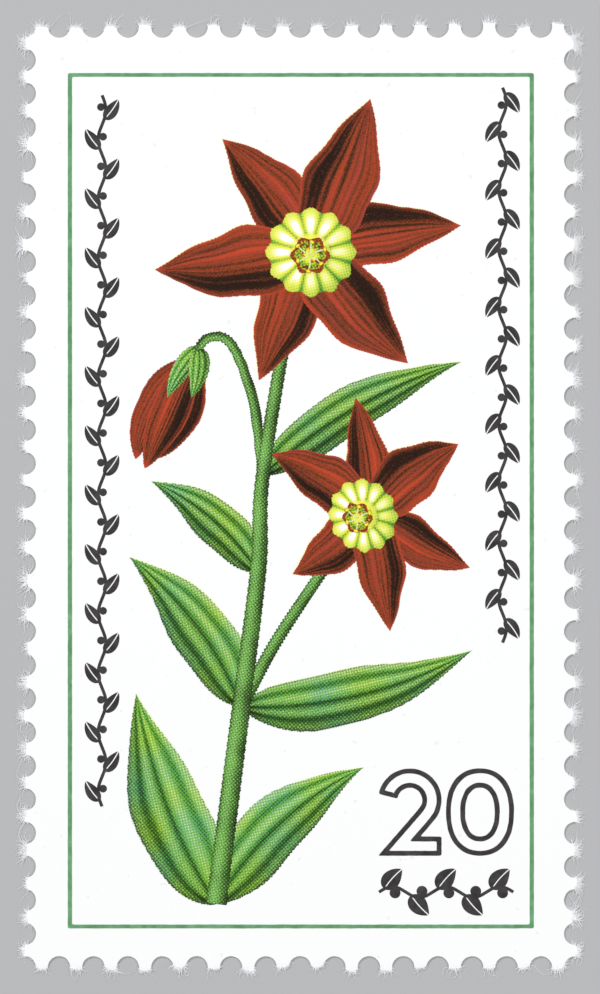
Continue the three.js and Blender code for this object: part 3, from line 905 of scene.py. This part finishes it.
# %% The stem
STEM_FOOT, FORK_LOW, FORK_HIGH = (-3.9, -18.6), (-2.75, -9.5), (-1.75, 1.2)
BUD_ROOT = (-5.0, 6.5)
STEMS = {  # points from the foot up, and the width at both ends
    "stem_lower_stalk": ([FORK_LOW, (-1.2, -6.6), (0.9, -3.4), (2.4, -1.2)], 0.62, 0.47),
    "stem_bud_stalk": ([FORK_HIGH, (-2.2, 4.6), (-3.2, 7.2), (-4.3, 7.5), BUD_ROOT], 0.5, 0.4),
    "stem_main": ([STEM_FOOT, FORK_LOW, (-1.95, -3.0), FORK_HIGH, (-0.4, 9.5)], 0.95, 0.55),
}
for number, (name, shape) in enumerate(STEMS.items()):
    grid = dot_edged(ribbon(*shape), "cyan")
    node = "ink_stem" if name == "stem_main" else None
    film(name, [grid], level("stem", number), stem_ink, "leaf_ink", node, seed=0.3 * number)

# %% The leaves
LEAF_FORM = dict(swell=0.7, taper=1.15, wave=0.05)
LEAVES = {  # root, tip, width and bow
    "foot_left": (STEM_FOOT, (-7.6, -8.9), 3.5, 1.0),
    "foot_right": (STEM_FOOT, (2.9, -12.3), 2.9, 1.5),
    "middle_left": (FORK_LOW, (-7.9, -2.6), 2.8, -1.2),
    "middle_right": (FORK_LOW, (7.9, -6.9), 2.6, -1.5),
    "top_left": ((-1.95, -3.3), (-6.9, 0.9), 2.1, -1.0),
    "top_right": (FORK_HIGH, (7.4, 6.4), 2.2, 1.2),
}
leaf_grids = []
for number, (name, shape) in enumerate(LEAVES.items()):
    grid = blade(*shape, **LEAF_FORM)
    if name.endswith("right"):
        grid = grid[:, ::-1]  # so that the half in shade is the lower one here too
    leaf_grids.append(grid)
    grid, top = dot_edged(grid, "cyan"), level("leaf", number)
    node, seed = "ink_leaf_" + name, 0.37 * number
    film("leaf_" + name, [grid], top, leaf_ink, "leaf_ink", node, seed=seed)

# %% [markdown]
# ## The flowers
#
# Three petals stand in front and three behind, round a fluted cup with a dark throat. Each petal
# is a film of its own, so that the front ones lie on the back ones with a crisp edge. The cup and
# its throat are discs: their grid runs round and outwards, and the merge closes its pole. A flower
# that leans could be a tilted one, but then its films would leave the sheet. It looks shorter that
# way, so its grid is pressed together in that direction.

# %% Petals as grids
PETALS = 6
PETAL_REACH, PETAL_WIDTH = (1.0, 0.92), (0.46, 0.40)  # of a front and a back petal
PETAL_FORM = dict(swell=0.66, taper=1.05, wave=0.06, waves=2.5)
PETAL_BOW, PETAL_UNEVEN = 0.09, 0.04  # shares of the reach, and of a petal's length
FLOWERS = {
    "upper": dict(centre=(0.5, 11.7), reach=7.3, turn=1.2, lean=0.25, toward=1.4, cup=2.0),
    "lower": dict(centre=(3.3, -0.5), reach=5.9, turn=0.62, lean=0.6, toward=0.4, cup=1.65),
}


def around(count):
    """Angles evenly round a circle."""
    return 2 * np.pi * np.arange(count) / count


def turned(points, angle):
    """Points turned about the origin."""
    c, s = np.cos(angle), np.sin(angle)
    return points @ np.array([[c, s], [-s, c]])


def pressed(points, middle, toward, squeeze):
    """Points drawn closer to a middle along one direction."""
    return turned(turned(points - middle, -toward) * np.array([squeeze, 1.0]), toward) + middle


def flower_petals(flower):
    """Tip i lies at turn + 60 i degrees. Lengths and bows differ by sines of i."""
    centre, reach, turn = flower["centre"], flower["reach"], flower["turn"]
    petals = []
    for i, angle in enumerate(turn + around(PETALS)):
        length = reach * PETAL_REACH[i % 2] * (1 + PETAL_UNEVEN * np.sin(2.6 * i + turn))
        bow = PETAL_BOW * reach * np.sin(1.9 * i + 3 * turn)
        width = reach * PETAL_WIDTH[i % 2]
        tip = centre + length * circle(angle)
        petal = blade(centre, tip, width, bow, phase=1.3 * i, **PETAL_FORM)
        petals.append(pressed(petal, centre, flower["toward"], np.cos(flower["lean"])))
    return petals


print("petals on a flower:", len(flower_petals(FLOWERS["upper"])))

# %% The cup as a grid
CUP_FLUTES, CUP_RIPPLE = 12, 0.05
THROAT_SHARE, THROAT_RIPPLE = 0.42, 0.1
CUP_DEPTH, THROAT_DEPTH = 0.5, 0.8  # how far each moves forward on a flower that leans, in radii


def waved_ring(centre, radii, waves, ripples, columns=480):
    """A disc as (out, round, xy): each radius r times 1 + ripple cos(waves angle)."""
    angle = around(columns)
    r = np.asarray(radii)[:, None] * (1 + np.asarray(ripples)[:, None] * np.cos(waves * angle))
    return np.array(centre) + circle(angle) * r[..., None]


def flower_cup(flower):
    """The cup's disc and the throat's, each moved forward by the lean, and the throat's middle."""
    cup, toward, squeeze = flower["cup"], flower["toward"], (1 + np.cos(flower["lean"])) / 2
    forward = cup * np.sin(flower["lean"]) * circle(toward)
    cup_middle = flower["centre"] - CUP_DEPTH * forward
    throat_middle = flower["centre"] - THROAT_DEPTH * forward
    out = np.linspace(0, 1, 12)
    disc = waved_ring(cup_middle, cup * out, CUP_FLUTES, CUP_RIPPLE * out**2)
    radii = cup * THROAT_SHARE * out
    throat = waved_ring(throat_middle, radii, CUP_FLUTES // 2, THROAT_RIPPLE * out)
    disc = pressed(disc, cup_middle, toward, squeeze)
    return disc, pressed(throat, throat_middle, toward, squeeze), throat_middle


print("a cup's grid:", flower_cup(FLOWERS["upper"])[0].shape)

# %% [markdown]
# ## The tones of the cup
#
# The cup is the brightest part of the picture: clear yellow, with a drop of bare white paper on
# most flutes and thin dotted grooves between them. The rim and one side are shaded with more dots.
# The throat is speckled, and has a ragged red-brown rim.

# %% The tones of the cup
def outward(x, y):
    """How far out on a disc a place lies, from 0 to 1."""
    return (x * x + y * y) ** 0.5


def cup_tones(f, x, y, seed):
    """A flute is a wave of the way round. Grooves and the drops on the crests lie outside the
    throat. Shade lies to one side, at the rim and where the throat begins."""
    round_it, out = y.math("ARCTAN2", x) / np.pi, outward(x, y)  # from -1 to 1, and from 0 to 1
    drift = f.noise(f.spot, 900.0, 1.0)
    crest = (round_it + drift.swing(0.03)).wave(CUP_FLUTES / 2)
    shade = (round_it + seed).wave(0.5) ** 2.0
    groove = ((1 - crest) ** 8.0) * out.rise(0.42, 0.5)
    drop = crest.rise(0.35, 0.8) * out.hump(0.64, 0.17) * (1 - shade * 0.8) * drift.rise(0.25, 0.42)
    rim = out.rise(0.72, 1.0)
    root = out.hump(0.45, 0.055)
    cyan = 0.03 + groove * 0.5 + rim * 0.26 + shade * 0.26 + root * 0.2 - drop
    black = groove * 0.28 + rim * rim * 0.14 + shade * 0.14 + root * 0.2 - drop - 0.06
    return {"yellow": 0.92 - drop * 1.2, "cyan": cyan, "black": black}


def throat_tones(f, x, y, seed):
    """Speckled inside, with a ragged red-brown rim."""
    out = outward(x, y)
    spots = f.noise(f.spot, 5200.0, 1.0).rise(0.56, 0.64)
    rim = (out + f.noise(f.spot, 9000.0, 1.0).swing(0.25)).rise(0.74, 0.84)
    red = rim * 0.95 + spots * 0.9 * out.rise(0.1, 0.35)
    cyan = 0.3 + out.hump(0.6, 0.2) * 0.3 - out.hump(0.25, 0.14) * 0.3 + rim * 0.15
    return {"yellow": 0.97, "red": red, "cyan": cyan, "black": out.hump(0.66, 0.18) * 0.42 + 0.04}


cup_ink = printed("cup_print", cup_tones, 0.42)
throat_ink = printed("throat_print", throat_tones, 0.5)

# %% [markdown]
# ## A plate that slipped
#
# Four plates print four inks, and never meet exactly. Here the yellow lies a few hundredths of a
# millimetre up, and shows as a pale fringe on that side of petals and leaves. The leaves' cyan lies
# as far down and to the left. A fringe could be a line along an outline, but it is exact and
# simpler as the print's own grids, moved, on the lowest levels.

# %% A plate that slipped
PETAL_SLIP, LEAF_SLIP, CYAN_SLIP = np.array([[-0.04, 0.032], [0.03, 0.035], [-0.028, -0.024]])
SLIP_STEP = 0.0002  # lifts each grid a little, so that two that overlap share no face


def slipped(grids, way):
    """Grids moved one way. Nothing runs across them, so their two edges are enough."""
    return [grid[:, :: ACROSS - 1] + way for grid in grids]


yellow_slip = printed("yellow_slip", lambda f, u, v, seed: {"yellow": 0.4}, 0)
cyan_slip = printed("cyan_slip", lambda f, u, v, seed: {"cyan": 0.32}, 0.4)
for ink, way in ((yellow_slip, LEAF_SLIP), (cyan_slip, CYAN_SLIP)):
    grids, top = slipped(leaf_grids, way), level(ink.name)
    film("leaf_" + ink.name, grids, top, ink, "leaf_ink", step=SLIP_STEP)

# %% [markdown]
# ## Stamens
#
# Six filaments spread from the throat's middle, each with an oval anther at its end. They could be
# painted on the throat, but as thin ribbons and small ovals of their own they keep a crisp edge.

# %% Stamens
FILAMENT_WIDTH, ANTHER_RADII, ANTHER_OVAL = (0.07, 0.05), (0, 0.07, 0.14), (1.0, 0.62)
FROM, TO = 0.05, 0.34  # where a filament starts and ends, as shares of the cup's radius
ALTERNATE = 0.08  # every other filament is longer by this share, and the rest are shorter
FIRST_ANGLE, ANTHER_TURN = 0.4, 1.2  # of the first filament, and from a filament to its anther
BEND, BEND_TURN = 0.04, 1.5  # how far a filament bends, and which way
STAMEN_STEP = 0.0001


def filament_tones(f, u, v, seed):
    """Pale green, darker on one side."""
    return {"yellow": 0.5, "cyan": 0.2 + u.rise(0.0, 1.0) * 0.4}


def anther_tones(f, u, v, seed):
    """Yellow, with a red-brown rim."""
    return {"yellow": 1.0, "red": v.rise(0.4, 1.0) * 0.9, "cyan": v.rise(0.6, 1.0) * 0.5}


def stamens(middle, cup):
    """Six filaments that bend a little to one side, and an oval anther across the end of each."""
    filaments, anthers = [], []
    for i, angle in enumerate(FIRST_ANGLE + around(PETALS)):
        way, length = circle(angle), TO * cup * (1 + ALTERNATE * (-1) ** i)
        root, tip = middle + way * FROM * cup, middle + way * length
        bend = (root + tip) / 2 + turned(way, BEND_TURN) * BEND
        filaments.append(ribbon([root, bend, tip], *FILAMENT_WIDTH, rows=12))
        oval = waved_ring((0, 0), ANTHER_RADII, 1, [0, 0, 0], columns=20) * ANTHER_OVAL
        anthers.append(turned(oval, angle + ANTHER_TURN) + tip)
    return filaments, anthers


filament_ink = printed("filament_print", filament_tones, 0.3)
anther_ink = printed("anther_print", anther_tones, 0.3)

# %% [markdown]
# ## Printing the flowers
#
# A flower's films lie on each other from the slipped yellow at the back to the stamens. A cup's
# place can't be read from rows and columns, since the way round would jump from 1 back to -1. So
# its place is where each point would lie on a plain round disc.

# %% Printing the flowers
def disc_film(name, disc, rim, top, ink, slot, seed=0.0):
    """A film of a disc, edged with one ink's dots. Place = (out cos(angle), out sin(angle))."""
    rows, columns = disc.shape[:2]
    place = np.linspace(0, 1, rows)[:, None, None] * circle(around(columns))
    disc = dot_edged(disc, rim, ring=True)
    film(name, [disc], top, ink, slot, "ink_" + name, place, seed, wrap=True)


for name, flower in FLOWERS.items():
    petals = flower_petals(flower)
    for i, grid in enumerate(petals):
        grid, top = dot_edged(grid, "red"), level("back_petal" if i % 2 else "front_petal", i)
        node = f"ink_{name}_petals" if i == 0 else None
        seed = 0.61 * i + flower["lean"]
        film(f"{name}_petal_{i + 1}", [grid], top, petal_ink, "petal_ink", node, seed=seed)
    grids, top = slipped(petals, PETAL_SLIP), level("yellow_slip")
    film(name + "_yellow_slip", grids, top, yellow_slip, "cup_ink", step=SLIP_STEP)
    cup, throat, middle = flower_cup(flower)
    disc_film(name + "_cup", cup, "cyan", level("cup"), cup_ink, "cup_ink", flower["toward"] / 6)
    disc_film(name + "_throat", throat, "red", level("throat"), throat_ink, "petal_ink")
    filaments, anthers = stamens(middle, flower["cup"])
    small = dict(slot="cup_ink", step=STAMEN_STEP)
    film(name + "_filaments", filaments, level("filament"), filament_ink, **small)
    film(name + "_anthers", anthers, level("anther"), anther_ink, wrap=True, **small)

# %% [markdown]
# ## The bud
#
# Two side petals close round the front one, and a green calyx holds them at the stalk. A bud could
# have a form of its own, but a blade that bows to its side is enough, in the same inks.

# %% The bud
BUD_TIP, BUD_SPREAD, BUD_BOW, BUD_WIDTH = (-7.2, 1.5), 0.42, 0.9, 1.75
BUD_FORM = dict(swell=0.6, taper=0.8, wave=0.04)
CALYX_SPREAD, CALYX_BOW, CALYX_WIDTH = 0.55, 0.3, 0.95
CALYX_FORM = dict(swell=0.4, taper=0.9)
CALYX_ROOT = (BUD_ROOT[0] + 0.3, BUD_ROOT[1] + 0.5)
CALYX_TIP = (BUD_ROOT[0] - 0.6, BUD_ROOT[1] - 1.75)
for order, side in enumerate((-1, 1, 0)):
    tip = (BUD_TIP[0] + BUD_SPREAD * side, BUD_TIP[1] + BUD_SPREAD * abs(side))
    grid = blade(BUD_ROOT, tip, BUD_WIDTH, BUD_BOW * side, phase=side, **BUD_FORM)
    grid, top = dot_edged(grid, "red"), level("bud_petal", order)
    node = "ink_bud_petals" if order == 0 else None
    seed = 0.45 * order + 0.2
    film(f"bud_petal_{order + 1}", [grid], top, petal_ink, "petal_ink", node, seed=seed)
for order, side in enumerate((-1, 1)):
    tip = (CALYX_TIP[0] + CALYX_SPREAD * side, CALYX_TIP[1])
    grid = blade(CALYX_ROOT, tip, CALYX_WIDTH, CALYX_BOW * side, **CALYX_FORM)
    grid, top = dot_edged(grid, "cyan"), level("calyx", order)
    node = "ink_bud_calyx" if order == 0 else None
    film(f"bud_calyx_{order + 1}", [grid], top, leaf_ink, "leaf_ink", node, seed=0.3 * order)

# %% [markdown]
# ## Solid inks
#
# The frame, the vines and the value are line work, printed solid in one ink. A flat colour would
# do from afar. Close up the ink is starved in small patches, and thins towards the line's edges,
# where the rubber blanket presses it outwards.

# %% Solid inks
GREEN_LINE, GREEN_THIN = (0.08, 0.25, 0.095, 1), (0.2, 0.42, 0.23, 1)
DARK_GREY, GREY_THIN = (0.018, 0.0155, 0.017, 1), (0.07, 0.062, 0.066, 1)


def solid_ink(name, colour, thin, edged):
    """Share of thin ink = 0.8 patches + 0.15 grain, and for a band that is edged, up to 0.4 more
    near both of its sides."""
    f = Finish(name, IOR=1.47, Specular_IOR_Level=0.3)
    patch = f.noise(f.spot, 2400.0, 3.0, 0.6).rise(0.35, 0.8)
    grain = f.noise(f.spot, GRAIN_SCALE)
    share = patch * 0.8 + grain * 0.15
    if edged:
        v = f.parts(f.field("place", "Vector"))[1]
        share = share + (v * 2 - 1).math("ABSOLUTE").rise(0.6, 1.0) * 0.4
    return f.done(f.blend("MIX", share.clamped(), colour, thin), 0.46 + grain * 0.14, grain)


green_line = solid_ink("green_line_ink", GREEN_LINE, GREEN_THIN, True)
value_ink = solid_ink("value_ink", DARK_GREY, GREY_THIN, True)
vine_ink = solid_ink("vine_ink", DARK_GREY, GREY_THIN, False)

# %% [markdown]
# ## The ruled frame
#
# A line of ink could be a curve with a width, but ink spreads a little into the paper, so both of
# its sides waver by some thousandths of a millimetre. Here a line is a band between two loops of
# points, many along it and few across.

# %% The ruled frame
FRAME_LINE = np.array([0.2, 0.18])  # up the sides and across the ends
WAVER = 0.009  # how far the sides of a line waver
BAND_ROWS = 5


def closed_band(outer, inner, spacing, rounding):
    """A band between two loops with the same number of corners, as (in to out, round, xy).

    Each loop is filled with points at about one spacing, then averaged with its neighbours, one
    quarter from each side, as often as `rounding` says. That rounds its corners. A random wave
    then moves it in and out."""
    pair = np.stack([inner, outer])
    after = np.roll(pair, -1, 1)
    lengths = np.linalg.norm(after[1] - pair[1], axis=1)
    counts = np.maximum(1, np.round(lengths / spacing)).astype(int)
    corner = np.repeat(np.arange(len(counts)), counts)
    passed = (np.cumsum(counts) - counts)[corner]
    share = ((np.arange(len(corner)) - passed) / counts[corner])[:, None]
    band = pair[:, corner] * (1 - share) + after[:, corner] * share
    for _ in range(rounding):
        band = (np.roll(band, 1, 1) + 2 * band + np.roll(band, -1, 1)) / 4
    waves = np.stack([loop_noise(len(corner), 2) for _ in pair])[..., None]
    band = band + waves * WAVER * unit(band[1] - band[0])
    steps = np.linspace(0, 1, BAND_ROWS)[:, None, None]
    return band[0] * (1 - steps) + band[1] * steps


def rectangle(half):
    """The corners of a rectangle about the origin."""
    return np.array([(-1, -1), (1, -1), (1, 1), (-1, 1)]) * half


frame_half = (frame_high[:2] - frame_low[:2]) / 2
outer, inner = rectangle(frame_half), rectangle(frame_half - FRAME_LINE)
frame_band = closed_band(outer, inner, spacing=0.08, rounding=1)
top = level("line")
film("ruled_frame", [frame_band], top, green_line, "green_ink", "ink_frame_line", wrap=True)
print("frame:", (2 * frame_half).round(3), "points round it:", frame_band.shape[1])

# %% [markdown]
# ## The vines
#
# Where a stamp has its lines of print, this one has running vines: a waved stem with a leaf on one
# side and a berry on the other, which change sides at every step. A leaf is two halves with a bare
# line of paper between them. They could be copies of one object, but each is bent along the stem,
# so they are closed slabs in one piece.

# %% The vines
VINES = {  # start, direction, length and height
    "left": ((-9.17, -14.1), np.pi / 2, 32.8, 1.5),
    "right": ((9.3, 19.05), -np.pi / 2, 25.6, 1.5),
    "short": ((3.6, -18.05), 0.0, 6.2, 2.1),
}
VINE_STEP, VINE_STEM = 1.35, 0.15
VINE_SWAY, VINE_LEAF, VINE_BERRY = 0.12, 0.4, 0.12  # shares of the vine's height
LEAF_BACK, LEAF_ON, BERRY_ON = 0.3, 0.35, 0.1  # shares of a step, from its middle
LEAF_BOW, BERRY_OFF = 0.1, 0.8
VEIN = 0.05  # the bare line along a leaf's middle


def half_leaves(grid):
    """A leaf as two halves, each moved away from the midrib by half of VEIN."""
    middle = grid.shape[1] // 2
    apart = unit_normals((grid[-1, middle] - grid[0, middle])[None]) * VEIN / 2
    return [grid[:, : middle + 1] - apart, grid[:, middle:] + apart]


def vine(start, turn, length, height):
    """Stem = VINE_SWAY height sin(pi x / step). Returns the stem, the half leaves and the
    berries."""
    count = round(length / VINE_STEP)
    step = length / count
    place = lambda grid: turned(grid, turn) + np.array(start)
    middle = lambda x: np.array([x, VINE_SWAY * height * np.sin(np.pi * x / step)])
    points = [middle(k * step / 4) for k in range(4 * count + 1)]
    stem = ribbon(points, VINE_STEM, VINE_STEM, rows=12 * count, columns=3)
    leaves, berries = [], []
    radius = VINE_BERRY * height
    for i in range(count):
        up, x = (-1) ** i, (i + 0.5) * step
        root, tip = middle(x - LEAF_BACK * step), (x + LEAF_ON * step, up * height / 2)
        leaf = blade(root, tip, VINE_LEAF * height - VEIN, LEAF_BOW * up, rows=24)
        leaves += [place(half) for half in half_leaves(leaf)]
        centre = middle(x + BERRY_ON * step) - [0, up * (VINE_STEM / 2 + BERRY_OFF * radius)]
        berries.append(place(waved_ring(centre, [0, radius], 1, [0, 0], columns=32)))
    return place(stem), leaves, berries


for name, shape in VINES.items():
    stem, leaves, berries = vine(*shape)
    film(f"vine_{name}_stem", [stem], level("line"), vine_ink, "grey_ink", f"ink_vine_{name}")
    film(f"vine_{name}_leaves", leaves, level("vine_leaf"), vine_ink, "grey_ink")
    film(f"vine_{name}_berries", berries, level("berry"), vine_ink, "grey_ink", wrap=True)

# %% [markdown]
# ## The value
#
# The numeral is drawn as hollow strokes: a broad stroke is carried along each digit's middle line,
# and only its edge is printed. A typeface could give its outline, but not the hollow line. For the
# two, it runs from the stroke's outline to the same one drawn in by its width. The zero is two
# rings.

# %% The 2
VALUE_LEFT, VALUE_FOOT, DIGIT_H = 3.56, -16.375, 4.03
STROKE, LINE = 0.89, 0.23  # the width of a hollow stroke, and of its printed edge
BOWL, TOE = 1.02, 0.53  # the bowl's radius, and where the slanting run meets the foot
BOWL_TURN = np.radians(np.linspace(170, -40, 25))
SHARPEST = 0.3  # holds a mitre back where the line turns sharply


def stroke_loop(line, half, end_gap):
    """Both sides of a stroke along a line of points, as one loop: each point moved sideways by
    half / cos(half the turn there), which mitres the corners, and each end drawn in by end_gap."""
    way = unit(np.diff(line, axis=0))
    inward, onward = np.vstack([way[:1], way]), np.vstack([way, way[-1:]])
    normal = unit_normals(inward + onward)
    mitre = np.maximum(SHARPEST, (normal * unit_normals(onward)).sum(1))[:, None]
    slide = np.zeros((len(line), 1))
    slide[0], slide[-1] = end_gap, -end_gap
    moved = line + onward * slide
    return np.vstack([moved - normal * half / mitre, (moved + normal * half / mitre)[::-1]])


def digit_two():
    """A bowl from 170 to -40 degrees, a straight run down to the toe, and a flat foot."""
    corner = np.array([VALUE_LEFT, VALUE_FOOT]) + STROKE / 2
    bowl = corner + [BOWL, DIGIT_H - STROKE - BOWL]
    foot = [corner + [TOE, 0], corner + [2 * BOWL + STROKE / 2, 0]]
    line = np.vstack([bowl + BOWL * circle(BOWL_TURN), foot])
    outer, inner = stroke_loop(line, STROKE / 2, 0), stroke_loop(line, STROKE / 2 - LINE, LINE)
    return closed_band(outer, inner, spacing=0.05, rounding=3)


two = digit_two()
print("points round the two:", two.shape[1])

# %% The 0
ZERO_LEFT, ZERO_W = 6.69, 3.14
SHOULDER = 0.88  # a power below 1, for squarer shoulders


def zero_ring(inset):
    """A line of the zero: an oval whose cosine and sine are raised to the power of SHOULDER."""
    centre = np.array([ZERO_LEFT + ZERO_W / 2, VALUE_FOOT + DIGIT_H / 2])
    round_one = circle(around(96))
    squared = np.sign(round_one) * np.abs(round_one) ** SHOULDER
    oval = lambda by: centre + squared * (np.array([ZERO_W, DIGIT_H]) / 2 - by)
    return closed_band(oval(inset), oval(inset + LINE), spacing=0.08, rounding=1)


VALUE = {"two": two, "zero_outer": zero_ring(0), "zero_inner": zero_ring(STROKE - LINE)}
for part, grid in VALUE.items():
    name = "value_" + part
    film(name, [grid], level("line"), value_ink, "grey_ink", "ink_" + name, wrap=True)

# %% [markdown]
# ## Floor, light and camera
#
# The stamp lies face up, and the camera looks straight down on it with a long lens, as on a
# copying stand. The floor is a plain pale grey, so that white paper stands out from it. One strong
# lamp would glare on the ink, so two large soft ones and an even, dim room show the paper's edge.

# %% The floor
FLOOR_GREY = (0.44, 0.44, 0.445, 1)
FLOOR_HALF = 600.0
FLOOR_GAP = 0.004  # so that the floor and the gum don't share a face

floor_points = np.column_stack([rectangle(FLOOR_HALF), np.full(4, BACK_Z - FLOOR_GAP)])
floor = new_object("floor", floor_points, [(0, 1, 2, 3)])
floor.data.materials.append(Finish("floor_grey", Base_Color=FLOOR_GREY, Roughness=0.9).material)
print("floor at", BACK_Z - FLOOR_GAP)

# %% The light
ROOM_COLOUR, ROOM_STRENGTH = (0.95, 0.97, 1.0, 1), 0.385


def make_light(name, place, size, watts):
    """A round area light that faces the stamp."""
    lamp = bpy.data.lights.new(name, "AREA")
    lamp.shape, lamp.size, lamp.energy = "DISK", size, watts
    light = bpy.data.objects.new(name, lamp)
    light.location = place
    light.rotation_euler = (-light.location).to_track_quat("-Z", "Y").to_euler()
    bpy.context.scene.collection.objects.link(light)


make_light("soft_left", place=(-0.30, 0.32, 0.45), size=0.30, watts=2.6)
make_light("soft_right", place=(0.36, -0.10, 0.42), size=0.35, watts=1.32)
room = bpy.data.worlds.new("soft_room")
room.use_nodes = True
room.node_tree.nodes["Background"].inputs["Color"].default_value = ROOM_COLOUR
room.node_tree.nodes["Background"].inputs["Strength"].default_value = ROOM_STRENGTH
bpy.context.scene.world = room
bpy.context.scene.view_settings.view_transform = "Standard"
print("lights:", len(bpy.data.lights))

# %% The camera
FIELD_H = 45.84 * MM  # height of the view on the stamp's face
LENS, SENSOR = 150.0, 36.0

lens = bpy.data.cameras.new("copy_camera")
lens.lens, lens.sensor_width = LENS, SENSOR
lens.clip_start, lens.clip_end = 0.01, 5.0
camera = bpy.data.objects.new("copy_camera", lens)
camera.location = (0, 0, FACE_Z * MM + FIELD_H * LENS / SENSOR)
bpy.context.scene.collection.objects.link(camera)
bpy.context.scene.camera = camera
print("camera stands", round(camera.location.z, 4), "m above the stamp")
